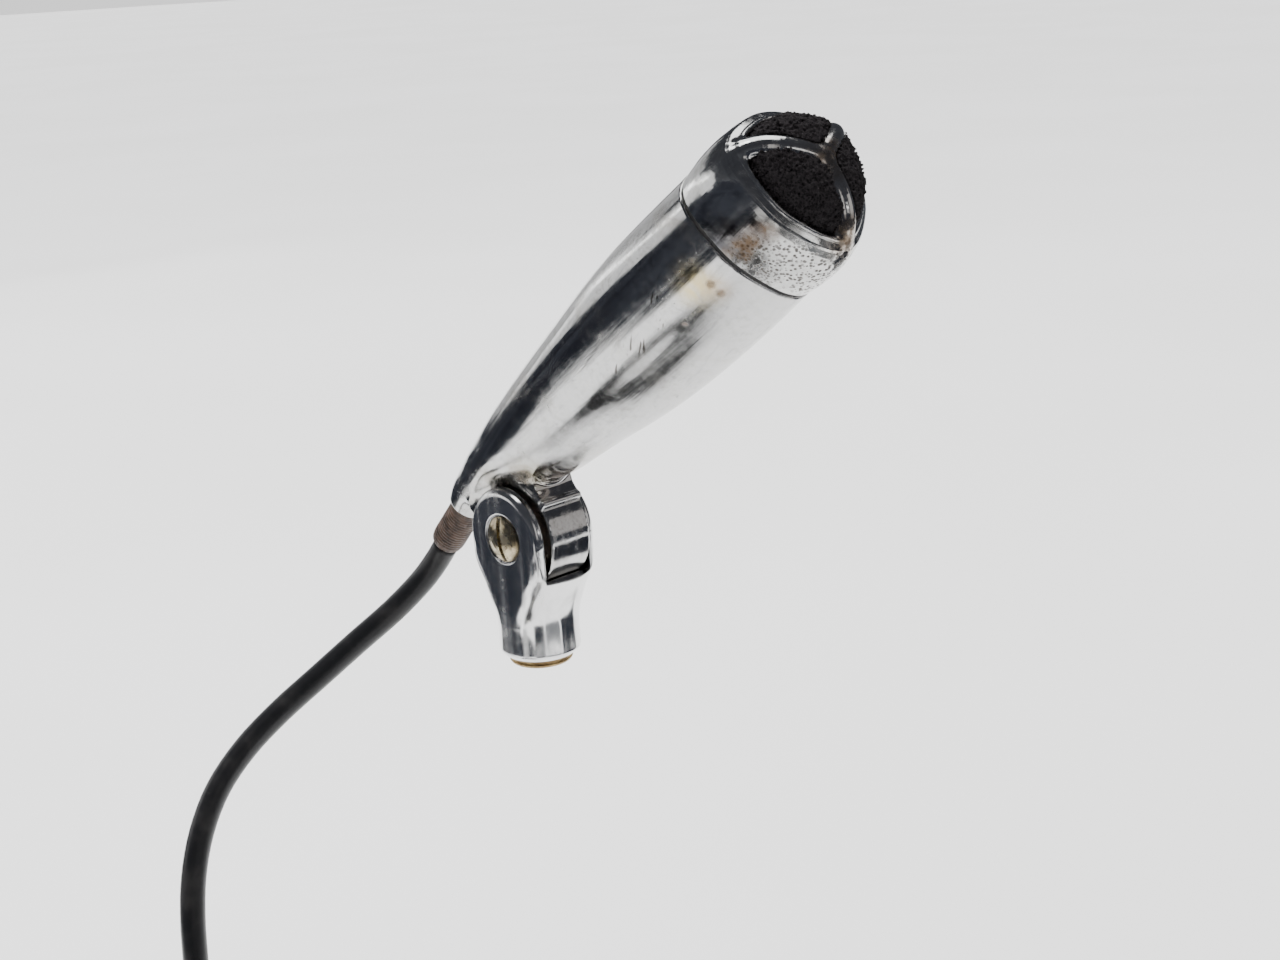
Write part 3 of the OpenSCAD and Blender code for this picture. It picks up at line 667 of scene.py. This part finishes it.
def body_field(u, y, v):
    vc, lo = vc_of(u), lo_of(u)
    w = v - vc
    w = np.where(w < 0, w / lo, w)
    rho, k = lobes(y, w, k3_of(u), k6_of(u))
    r = r_of(u)
    outer = rho - r * k
    a, b = along_gland(u, y, v)
    outer = smax(smax(outer, a, 1.0), u - 109.2, 0.5)
    kn = smax(np.hypot(u, v) - 14.0, np.abs(y) - 5.9, 0.5)
    neck = smax(poly(u, v, NECK), np.abs(y) - 5.9, 0.5)
    bead = smax(np.hypot(u - 14.75, v - 0.9) - 0.8, np.abs(y) - 5.9, 0.4)
    kn = smin(smin(kn, neck, 1.0), bead, 0.5)
    f = smin(outer, kn, 3.4)
    inner = smax(rho - (r - 1.7) * k, -9.0 - u, 0.5)
    f = smax(f, -inner, 0.3)
    f = smax(f, -smax(b - 3.72, np.abs(a + 6.0) - 8.0, 0.2), 0.3)
    return smax(f, 3.06 - np.hypot(u, v), 0.4)


# the case's plate tint (0.57) is darker than the fork's: partly dull, worn plate, partly painted shade standing for the
# dimmer floor that the case mirrors
body_chrome = chrome("body_chrome", (0.57, 0.57, 0.565), 0.08, 0.5, grain=37.5, mottle=0.5,
                     # the dark olive-brown tints and the stain at y = -6 on the neck and knuckle, just above the fork's
                     # ear, are partly tarnish, partly painted shade between the parts
                     stains=[((76.2, -13.4, 101.9), 1.5, 0.9), ((77.4, -12.2, 99.8), 1.5, 1.0),
                             ((6.0, -6.4, 49.5), 4.5, 0.6), ((67.5, -12.5, 92.6), 1.1, 0.8)],
                     nicks=[((53.3, -14.1, 86.1), 2.6), ((55.2, -14.2, 87.4), 3.0), ((47.5, -13.6, 81.4), 2.2),
                            ((62.1, -14.3, 92.4), 1.8), ((74.0, -12.7, 98.4), 1.6), ((62.6, -15.8, 97.8), 2.0)],
                     tints=[((72.9, -14.5, 101.6), 8, (0.66, 0.54, 0.26), 0.95),
                            ((77.0, -12.6, 101.0), 5, (0.46, 0.33, 0.20), 0.6),
                            ((9.0, -6.2, 50.0), 9, (0.30, 0.26, 0.16), 0.75),
                            ((14.0, 0.0, 50.0), 9, (0.62, 0.50, 0.44), 0.55),
                            ((-4.0, -6.0, 47.0), 8, (0.24, 0.21, 0.15), 0.7)])
body = solid("body_skin", body_field, (-18.6, -18.4, -14.6), (109.8, 18.4, 34.6), 0.5, body_chrome,
             body_to_world, turn_body)
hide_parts("body_shell")
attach(body, "microphone")

# ---------------------------------------------------------------- head: ring, rim and ribs
WALL = [[95, 14.6], [110.02, 14.6], [110.02, 16.15], [110.3, 16.42], [112, 16.64], [113.5, 16.8], [115.4, 16.99],
        [117.2, 17.1], [119, 17.08], [120.5, 16.97], [122, 16.8], [123.2, 16.62], [124.5, 16.32],
        [125.05, 15.95], [125.55, 15.1], [125.8, 14.65], [126.1, 14.62], [126.4, 14.4], [126.5, 14.05], [126.35, 13.65],
        [126.0, 13.4], [123.4, 13.3], [122.0, 14.3], [119.5, 14.7], [117.2, 14.7], [114.5, 14.1], [112, 13.2], [95, 13.2]]


def rib_line(b, inset=2.4):
    a = np.radians(np.linspace(8, 90, 22))
    s = np.sin(a)
    rho = (17.1 - inset) * np.maximum(1 - s ** 3, 0) ** (1 / 3) * (1 + 0.1 * (1 - 0.5 * s))
    u = 117.2 + (133.4 - inset - 117.2) * s
    b = math.radians(b)
    return np.stack([u, rho * math.sin(b), HEAD_V + rho * math.cos(b)], 1)


RIBS = [rib_line(b) for b in (60, 180, 300)]
kf_of = spline([90, 117.2, 120.5, 123, 124.5, 125.4, 126.2, 140], [1, 1, 0.94, 0.82, 0.76, 0.74, 0.76, 0.78])


def ribs_field(u, y, v, r=2.4):
    parts = [capsules(u, y, v, line, r) for line in RIBS]
    f = smin(smin(parts[0], parts[1], 1.6), parts[2], 1.6)
    hub = np.sqrt((u - 130.75) ** 2 + y * y + (v - HEAD_V) ** 2) - (r + 0.2)
    return smin(f, hub, 1.0)


def head_field(u, y, v):
    kf = kf_of(u)
    rho, k = lobes(y, v - HEAD_V, 0.08 * kf, 0.02 * kf)
    wall = poly(u, rho / k, WALL) - 0.08
    ribs = ribs_field(u, y, v)
    f = smin(wall, ribs, 2.2)
    # the ribs stay within the ring's own outer face
    return smax(f, np.where(u < 123.5, rho / k - 17.15, -9.0), 0.3)


head_chrome = chrome("grille_chrome", (0.66, 0.66, 0.65), 0.08, 0.5, grain=37.5, pits=0.9, mottle=0.4,
                     pitted=[((87.8, -11.6, 106.6), 8.5), ((93.0, -8.7, 106.0), 8), ((93.9, -4.1, 103.2), 9),
                             ((97.4, 0.7, 104.8), 8)],
                     stains=[((85.4, -13.9, 109.3), 3.6, 0.85), ((88.0, -14.0, 111.4), 2.6, 0.8),
                             ((97.1, -0.9, 125.3), 5.0, 0.8), ((95.7, 2.3, 127.2), 4.0, 0.85),
                             ((101.2, -0.5, 111.6), 5.0, 0.85), ((82.0, -14.2, 108.6), 2.0, 0.6),
                             ((92.0, -13.0, 114.0), 3.0, 0.6)],
                     # the first three tints paint the ring's near side by the seam almost black: painted dark
                     # reflection
                     tints=[((80.5, -15.2, 110.8), 8, (0.09, 0.09, 0.10), 1.9),
                            ((85.0, -14.2, 110.8), 8, (0.09, 0.085, 0.085), 1.9),
                            ((90.0, -14.0, 113.2), 6, (0.11, 0.09, 0.08), 1.7),
                            ((92.0, -8.5, 105.6), 13, (0.47, 0.47, 0.46), 0.9),
                            ((97.0, 0.0, 126.0), 9, (0.40, 0.32, 0.24), 0.6),
                            ((101.0, -1.0, 111.5), 8, (0.36, 0.27, 0.18), 0.7)])
head = solid("grille_head", head_field, (94.6, -19.2, -3.6), (134.0, 19.2, 36.4), 0.3, head_chrome,
             body_to_world, turn_body)
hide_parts("grille_ring")
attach(head, "microphone")

# ---------------------------------------------------------------- foam behind the ribs
DOME = [[113.7, 12.5], [117.2, 12.95], [123, 13.0], [126.2, 13.0], [127.9, 13.1], [129.3, 12.7], [130.6, 11.6],
        [131.7, 9.8], [132.5, 7.4], [132.9, 4.8], [133.05, 0], [118.0, 0], [118.0, 9.5], [113.7, 9.5]]


def foam_field(u, y, v):
    rho, k = lobes(y, v - HEAD_V, 0.0624, 0.0156)
    f = poly(u, rho / k, DOME)
    outside = np.clip((rho - 4) / 4, 0, 1)
    open_cells = cells(u, y, v, 0.72)
    rough = 0.80 * (open_cells - 0.40) + 0.08 * value_noise(u, y, v, 3.0) + 0.42 * value_noise(u + 9, y, v, 0.5)
    f = f + np.where(u > 119, rough, 0.0) * (0.75 + 0.25 * outside) + 0.10
    return np.maximum(f, -(ribs_field(u, y, v, 2.4) - 0.10))


foam = solid("foam_ball", foam_field, (113.2, -14.8, 1.4), (134.4, 14.8, 31.4), 0.24, foam_material(),
             body_to_world, turn_body, steps=2, smooth_normals=False)
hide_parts("foam_screen")
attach(foam, "microphone")

# ---------------------------------------------------------------- fork
turn_of = spline([-60, -29.6, -22.5, -21, -19.2, -17.3, -15, -12.8, -10.9, -9, -6.5, -3, -1, 20],
                 [9.9, 9.9, 9.9, 10.05, 10.4, 10.95, 11.7, 12.5, 13.4, 14.3, 14.95, 15.3, 15.3, 15.3])
flat_of = spline([-60, -31, -22, -16, -13.5, 0, 20], [9.62, 9.62, 9.58, 9.52, 9.5, 9.5, 9.5])


def round_and(a, b, r):
    """Both solids at once, with the edge between them rounded."""
    a, b = a + r, b + r
    return np.minimum(np.maximum(a, b), 0) + np.hypot(np.maximum(a, 0), np.maximum(b, 0)) - r


def fork_field(x, y, z):
    rho = np.hypot(x, y)
    turned = smax(rho - turn_of(z), -31.0 - z, 0.9)
    turned = smax(turned, (rho - 8.75) * 0.7 + (-31.0 - z) * 0.7 + 0.28, 0.5)
    turned = smax(turned, z - 0.0, 0.3)
    turned = smax(turned, np.where(z > -9.4, np.abs(x) - 12.35, -3.0), 0.5)
    f = smin(turned, np.hypot(x, z) - 12.35, 0.5)
    f = round_and(f, np.abs(y) - flat_of(z), np.interp(z, [-22, -16, -9], [0.6, 1.2, 2.2]))
    slot = smax(np.abs(y) - 6.95, np.minimum(np.hypot(x, z) - 14.3, -9.4 - z), 0.4)
    f = smax(f, -slot, 0.7)
    f = smax(f, -smax(rho - 7.9, z + 17.6, 0.2), 0.5)
    f = smax(f, 3.04 - np.hypot(x, z), 0.3)
    m = np.abs(y)
    recess = np.maximum(np.hypot(x, z) - 6.05, 9.0 - m)
    sink = np.maximum((np.hypot(x, z) - 3.04) * 0.55 - (m - 7.42) * 0.83, 7.42 - m)
    return smax(f, -np.minimum(recess, sink), 0.3)


fork_chrome = chrome("swivel_chrome", (0.78, 0.78, 0.78), 0.11, 0.4, grain=90, groove=0.04,
                     stains=[((10.5, -5.0, 24.5), 2.0, 0.6)],
                     tints=[((7.0, 9.0, 40.0), 9, (0.45, 0.40, 0.33), 0.5)])
fork = solid("fork", fork_field, (-16.2, -11.2, -31.6), (16.2, 11.2, 12.8), 0.3, fork_chrome, move=(0, 0, PIVOT_H))
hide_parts("clevis")
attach(fork, "stand_side")

# ---------------------------------------------------------------- pin and its nut
PIN = [[0, -1.15], [1.6, -1.07], [3.0, -0.83], [4.2, -0.47], [5.1, -0.06], [5.55, 0.2], [5.72, 0.4], [5.62, 0.55],
       [5.3, 0.6], [3.0, 2.05]]


def pin_field(turn, long):
    c, s = math.cos(math.radians(turn)), math.sin(math.radians(turn))
    outline = PIN + ([[3.0, 18.25], [2.6, 18.35], [0, 18.35]] if long else [[0, 2.05]])

    def f(x, y, z):
        rho = np.hypot(x, y)
        d = poly(rho, z, outline)
        d = np.where(rho < 0.05, np.abs(d) * np.sign(d), d)
        across = np.abs(x * c + y * s) - 0.6
        d = smax(d, -smax(across, z - 0.1, 0.1), 0.25)
        if not long:
            d = smax(d, -smax(rho - 3.02, 0.7 - z, 0.05), 0.1)
        return d
    return f


def near_side(p):
    return np.stack([p[:, 0], p[:, 2] - 9.5, -p[:, 1] + PIVOT_H], 1)


def far_side(p):
    return np.stack([p[:, 0], 9.5 - p[:, 2], p[:, 1] + PIVOT_H], 1)


pin_metal = Mat("screw_nickel")
_c = pin_metal.mix(pin_metal.step(pin_metal.noise(160, 5, 0.65), 0.35, 0.7), (0.66, 0.59, 0.43), (0.36, 0.29, 0.17))
_c = pin_metal.mix(pin_metal.step(pin_metal.noise(1300, 3, 0.7), 0.62, 0.75), _c, (0.16, 0.11, 0.06))
# painted shade: a dark ring round the rim of the screw head and of the nut, where the dome's edge would mirror the
# bright floor
_c = pin_metal.mix(pin_metal.near((0.0, 0.0, PIVOT_H), 4.9, 5.75, (1, 0, 1)), (0.055, 0.045, 0.03), _c)
pin_metal.set(Base_Color=_c, Metallic=1.0,
              Roughness=pin_metal.step(pin_metal.noise(300, 4, 0.6), 0.3, 0.7, 0.16, 0.34),
              Normal=pin_metal.bump(pin_metal.noise(500, 4, 0.6), 0.12, 0.0002))
for name, node, turn, long, place_it, z1 in (("pin", "pivot_screw", -7, True, near_side, 18.7),
                                              ("pin_nut", "pivot_nut", 25, False, far_side, 2.5)):
    p, faces, normal = surface(pin_field(turn, long), (-6.1, -6.1, -1.5), (6.1, 6.1, z1), 0.16)
    zero = place_it(np.zeros((1, 3)))
    o = add_mesh(name, place_it(p), faces, pin_metal.m, place_it(normal) - zero)
    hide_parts(node)
    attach(o, "stand_side")

# ---------------------------------------------------------------- threaded adapter
SLEEVE = [[4.3, 0.1], [7.0, 0.02], [7.5, 0.3], [7.55, 0.6], [7.86, 0.85], [7.55, 1.05], [7.55, 1.3], [7.86, 1.6],
          [7.86, 12.4], [7.3, 12.95], [4.35, 12.95]]


def adapter_field(x, y, z):
    rho = np.hypot(x, y)
    wave = np.abs(((np.arctan2(y, x) / (2 * math.pi) + z / 1.5875) % 1.0) - 0.5) * 2
    return np.maximum(poly(rho, z, SLEEVE), 3.99 + 0.70 * wave - rho)


brass = metal("adapter_brass", (0.50, 0.36, 0.17), (0.20, 0.13, 0.06), 0.30, 700, 240)
adapter = solid("stand_adapter", adapter_field, (-8.4, -8.4, -0.5), (8.4, 8.4, 13.5), 0.24, brass)
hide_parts("thread_adapter")
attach(adapter, "stand_side")

# ---------------------------------------------------------------- cable gland
GLAND = [[3.2, -5.9], [3.6, -5.9], [3.65, -0.02], [4.1, 0.0], [4.25, 0.3], [4.25, 14.2], [4.05, 15.3], [3.6, 16.1],
         [3.3, 16.35], [3.2, 16.3]]


def gland_field(x, y, z):
    rho = np.hypot(x, y)
    ripple = 0.07 * np.sin(2 * math.pi * (z + np.arctan2(y, x) / (2 * math.pi) * 0.9) / 0.9) * np.clip((z - 1.5) / 2, 0, 1) \
        * np.clip((15 - z) / 2, 0, 1) * np.where(rho > 3.8, 1, 0)
    dents = 0.06 * value_noise(x, y, z, 2.2) * np.where(rho > 3.8, 1, 0)
    return poly(rho, z, GLAND) + 0.07 - ripple - dents


def gland_turn(p):
    a = DROOP
    return turn_body(np.stack([p[:, 0] * math.sin(a) * -1 - p[:, 2] * math.cos(a), p[:, 1],
                               p[:, 0] * math.cos(a) - p[:, 2] * math.sin(a)], 1))


def gland_place(p):
    return gland_turn(p) + body_to_world(np.array([-17.0, 0.0, 16.0]))


gp, gf, gn = surface(gland_field, (-4.7, -4.7, -6.4), (4.7, 4.7, 16.9), 0.22)
gland = add_mesh("gland", gland_place(gp), gf, gland_material(), gland_turn(gn))
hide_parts("cable_gland")
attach(gland, "microphone")

# ---------------------------------------------------------------- the tie round the spare cord
tie_at = math.radians(60)
tie_out = np.array([math.cos(tie_at), math.sin(tie_at)])
tie_side = np.array([-math.sin(tie_at), math.cos(tie_at)])
loop = []
for cx, cz, a0 in ((53.2, 24.4, 0), (30.0, 24.4, 90), (30.0, 3.0, 180), (53.2, 3.0, 270)):
    for a in np.radians(np.arange(a0, a0 + 91, 15)):
        loop.append((cx + 1.95 * math.cos(a), cz + 1.95 * math.sin(a), math.cos(a), math.sin(a)))
verts, faces = [], []
cross = [(-4.6, 0), (-4.9, 0.16), (-4.9, 0.44), (-4.5, 0.6), (-3.2, 0.52), (0, 0.6), (3.2, 0.52), (4.5, 0.6), (4.9, 0.44),
         (4.9, 0.16), (4.6, 0)]
for x, z, nx, nz in loop:
    for s, t in cross:
        w = tie_out * (x + nx * t) + tie_side * s
        verts.append((COIL_C[0] + w[0], COIL_C[1] + w[1], FLOOR_Z + z - 0.98 + nz * t + (0.98 if z > 12 else 0.45)))
m, k = len(loop), len(cross)
for i in range(m):
    for j in range(k):
        faces.append((i * k + j, ((i + 1) % m) * k + j, ((i + 1) % m) * k + (j + 1) % k, i * k + (j + 1) % k))
tie_black = plastic("tie_black", (0.018, 0.018, 0.02), (0.045, 0.045, 0.048), 0.55, 1400, 300, 0.4)
tie = add_mesh("cord_tie", verts, np.array(faces), tie_black)
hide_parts("coil_tie")
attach(tie, "stand_side")

# ---------------------------------------------------------------- materials of the CAD nodes that stay
steel = metal("plated_steel", (0.66, 0.66, 0.64), (0.42, 0.41, 0.38), 0.3, 800, 120)
looks = {
    "washer_near": plastic("fibre", (0.05, 0.035, 0.025), (0.09, 0.06, 0.04), 0.7, 1600, 300, 0.4),
    "seam_gasket": plastic("gasket_rubber", (0.012, 0.012, 0.013), (0.03, 0.028, 0.026), 0.6, 1500, 300, 0.2),
    "cord_inner": rubber,
    "crimp_ring": steel, "pot_screw": steel, "chassis_strip": steel, "magnet_pot": steel, "pole_piece": steel,
    "top_plate": steel, "resonator_cap": steel,
    "inner_leads": plastic("lead_sleeve", (0.32, 0.03, 0.02), (0.20, 0.02, 0.02), 0.45, 1200, 500, 0.2),
    "transformer_leads": plastic("lead_green", (0.03, 0.16, 0.05), (0.02, 0.10, 0.03), 0.45, 1200, 500, 0.2),
    "terminal_board": plastic("board_phenolic", (0.20, 0.10, 0.04), (0.12, 0.06, 0.025), 0.45, 1400, 260, 0.2),
    "spacer_ring": plastic("ring_phenolic", (0.22, 0.11, 0.05), (0.13, 0.07, 0.03), 0.45, 1400, 260, 0.2),
    "solder_lugs": metal("contact_brass", (0.80, 0.62, 0.30), (0.50, 0.36, 0.16), 0.3, 900, 300),
    "transformer_core": metal("lamination_steel", (0.34, 0.35, 0.37), (0.18, 0.18, 0.19), 0.4, 1200, 300),
    "transformer_coil": winding("coil_tape", (0.48, 0.22, 0.08), (0.30, 0.13, 0.05)),
    "voice_coil": winding("copper_winding", (0.75, 0.36, 0.17), (0.45, 0.20, 0.09)),
    "magnet": metal("magnet_alloy", (0.40, 0.40, 0.43), (0.24, 0.24, 0.26), 0.45, 600, 150),
    "damping_felt": plastic("felt", (0.12, 0.12, 0.11), (0.20, 0.20, 0.18), 0.95, 3200, 500, 0.8, depth=0.0004),
    "rubber_mount": plastic("mount_rubber", (0.015, 0.015, 0.016), (0.035, 0.034, 0.033), 0.6, 1500, 300, 0.2),
    "diaphragm": plastic("diaphragm_film", (0.62, 0.58, 0.40), (0.50, 0.46, 0.32), 0.25, 900, 300, 0.1),
    "plug_handle": plastic("plug_black", (0.014, 0.014, 0.015), (0.03, 0.03, 0.03), 0.35, 1100, 200, 0.15),
    "plug_insulator": plastic("plug_ring", (0.02, 0.02, 0.02), (0.05, 0.05, 0.05), 0.4, 1100, 200, 0.1),
    "plug_collar": metal("plug_nickel", (0.82, 0.79, 0.72), (0.60, 0.56, 0.48), 0.16, 900, 200),
}
looks["washer_far"] = looks["washer_near"]
looks["plug_sleeve"] = looks["plug_tip"] = looks["plug_collar"]
for name, material in looks.items():
    data = nodes[name].data
    if data.materials:
        for i in range(len(data.materials)):
            data.materials[i] = material
    else:
        data.materials.append(material)

# ---------------------------------------------------------------- floor, room and light
floor = add_mesh("floor", np.array([(-90.0, -90.0, FLOOR_Z * MM), (90.0, -90.0, FLOOR_Z * MM), (90.0, 90.0, FLOOR_Z * MM),
                                    (-90.0, 90.0, FLOOR_Z * MM)]) / MM, np.array([(0, 1, 2, 3)]), floor_material())


def glow(name, colour, other, scale):
    """A plain surface of even brightness, for the studio's dark flags and pale backdrop."""
    s = Mat(name)
    c = s.mix(s.step(s.noise(scale, 3, 0.5), 0.35, 0.68), colour, other)
    s.set(Base_Color=(0.0, 0.0, 0.0), Roughness=1.0, Emission_Color=c, Emission_Strength=1.0)
    s.b.inputs["Specular IOR Level"].default_value = 0.0
    return s.m


# dark flags lie round the table, and the plate mirrors them
EDGE = [(-40, 19.4), (-0.42, -0.02), (-0.27, -0.125), (-0.165, -0.265), (-0.095, -0.275), (-0.05, -0.32), (0.10, -0.30),
        (0.30, -0.36), (0.6, 0.1), (0.45, 0.5), (-15.2, 30)]
FAR = [(-60, 19.4), (-60, -30), (-45, -45), (-36, -60), (-24, -60), (-10, -60), (15, -60), (60, -40), (60, 10), (60, 60),
       (-15.2, 80)]
flags = [(EDGE[i], EDGE[i + 1], FAR[i + 1], FAR[i]) for i in range(len(EDGE) - 1)]



def sector(a0, a1, r0, r1):
    a0, a1 = math.radians(a0), math.radians(a1)
    return ((r0 * math.cos(a0), r0 * math.sin(a0)), (r1 * math.cos(a0), r1 * math.sin(a0)),
            (r1 * math.cos(a1), r1 * math.sin(a1)), (r0 * math.cos(a1), r0 * math.sin(a1)))


flags += [sector(304, 332, 0.20, 0.42), sector(24, 52, 0.185, 0.50), sector(52, 78, 0.185, 0.42)]
flag = add_mesh("flag", np.array([(x / MM, y / MM, FLOOR_Z + 0.4 + 0.1 * (i > 9)) for i, q in enumerate(flags) for x, y in q]),
                np.arange(4 * len(flags)).reshape(-1, 4), glow("flag_dark", (0.028, 0.031, 0.042), (0.058, 0.063, 0.080), 5))
backdrop_at = [(12 * math.cos(a), 12 * math.sin(a)) for a in np.radians(np.arange(0, 360, 7.5))]
count = len(backdrop_at)
backdrop = add_mesh("backdrop", np.array([(x / MM, y / MM, z / MM) for z in (-0.5, 14.0) for x, y in backdrop_at]),
                    np.array([(i, (i + 1) % count, (i + 1) % count + count, i + count) for i in range(count)]),
                    glow("backdrop_pale", (1.15, 1.15, 1.15), (1.19, 1.19, 1.19), 0.2))
slit = add_mesh("flag_slit", np.array([(x / MM, y / MM, FLOOR_Z + 0.7) for x, y in sector(271, 284, 0.24, 0.65)]),
                np.array([(0, 1, 2, 3)]), glow("slit_pale", (0.90, 0.90, 0.90), (1.0, 1.0, 1.0), 5))
slit.visible_camera = slit.visible_diffuse = slit.visible_transmission = slit.visible_shadow = False
half = add_mesh("flag_half", np.array([(x / MM, y / MM, FLOOR_Z + 0.6) for x, y in sector(336, 380, 0.19, 0.40)]),
                np.array([(0, 1, 2, 3)]), glow("flag_half", (0.26, 0.27, 0.29), (0.34, 0.35, 0.36), 5))
half.visible_camera = half.visible_diffuse = half.visible_transmission = half.visible_shadow = False
flag.visible_camera = flag.visible_diffuse = flag.visible_transmission = flag.visible_shadow = False
backdrop.visible_glossy = backdrop.visible_diffuse = backdrop.visible_transmission = backdrop.visible_shadow = False


def lamp(name, at, to, size, watts, colour=(1, 1, 1), size_y=None):
    d = bpy.data.lights.new(name, "AREA")
    d.shape = "RECTANGLE"
    d.size, d.size_y = size, size_y or size
    d.energy = watts
    d.color = colour
    o = bpy.data.objects.new(name, d)
    scene.collection.objects.link(o)
    o.location = at
    o.rotation_euler = (Vector(to) - Vector(at)).to_track_quat("-Z", "Y").to_euler()
    return o


def sky(name, towards, strength, angle):
    d = bpy.data.lights.new(name, "SUN")
    d.energy, d.angle = strength, math.radians(angle)
    o = bpy.data.objects.new(name, d)
    scene.collection.objects.link(o)
    o.rotation_euler = (-Vector(towards)).to_track_quat("-Z", "Y").to_euler()
    o.visible_glossy = False
    return o


sky("soft_top", (-0.3, 0.1, 1.0), 6.2, 120)
sky("soft_left", (-0.8, -0.3, 0.9), 1.6, 90)
lamp("overhead", (-0.2, 0.2, 1.5), (0.0, 0.0, 0.0), 1.3, 16)
lamp("left_panel", (-1.04, -0.60, 0.14), (0.0, 0.0, 0.09), 1.1, 1.7, size_y=0.42)
lamp("back_panel", (-1.45, 0.22, 0.26), (0.0, 0.0, 0.09), 1.25, 1.6, size_y=0.62)

lamp("right_panel", (1.0, 0.84, 0.26), (0.0, 0.0, 0.06), 0.9, 0.95, (1.0, 0.95, 0.91), size_y=0.62)
lamp("near_panel", (1.454, -0.806, 0.453), (0.08, 0.0, 0.10), 0.45, 0.80, (1.0, 0.96, 0.93), size_y=0.9)
lamp("rim_strip", (1.378, 0.048, 0.343), (0.09, 0.0, 0.11), 0.5, 0.5, size_y=0.16)
lamp("crown_spot", (-0.24, -0.49, 1.17), (0.08, 0.0, 0.12), 0.42, 2.2)
lamp("ridge_strip", (-0.88, -0.31, 0.21), (0.07, 0.0, 0.10), 0.9, 0.34, size_y=0.05)

# the room: dim, a little lighter low down
world = bpy.data.worlds.new("room")
scene.world = world
world.use_nodes = True
wt = world.node_tree
co = wt.nodes.new("ShaderNodeTexCoord")
apart = wt.nodes.new("ShaderNodeSeparateXYZ")
patches = wt.nodes.new("ShaderNodeTexNoise")
patches.inputs["Scale"].default_value = 2.2
patches.inputs["Detail"].default_value = 2.0
rise = wt.nodes.new("ShaderNodeMapRange")
rise.interpolation_type = "SMOOTHSTEP"
for socket, value in zip(("From Min", "From Max", "To Min", "To Max"), (-0.05, 0.40, 1.0, 0.25)):
    rise.inputs[socket].default_value = value
times = wt.nodes.new("ShaderNodeMath")
times.operation = "MULTIPLY"
blend = wt.nodes.new("ShaderNodeMix")
blend.data_type = "RGBA"
wt.links.new(co.outputs["Generated"], apart.inputs[0])
wt.links.new(co.outputs["Generated"], patches.inputs["Vector"])
wt.links.new(apart.outputs["Z"], rise.inputs["Value"])
wt.links.new(rise.outputs[0], times.inputs[0])
wt.links.new(patches.outputs["Fac"], times.inputs[1])
wt.links.new(times.outputs[0], blend.inputs[0])
blend.inputs[6].default_value = (0.036, 0.038, 0.047, 1)
blend.inputs[7].default_value = (0.155, 0.16, 0.175, 1)
wt.links.new(blend.outputs[2], wt.nodes["Background"].inputs["Color"])
wt.nodes["Background"].inputs["Strength"].default_value = 1.0
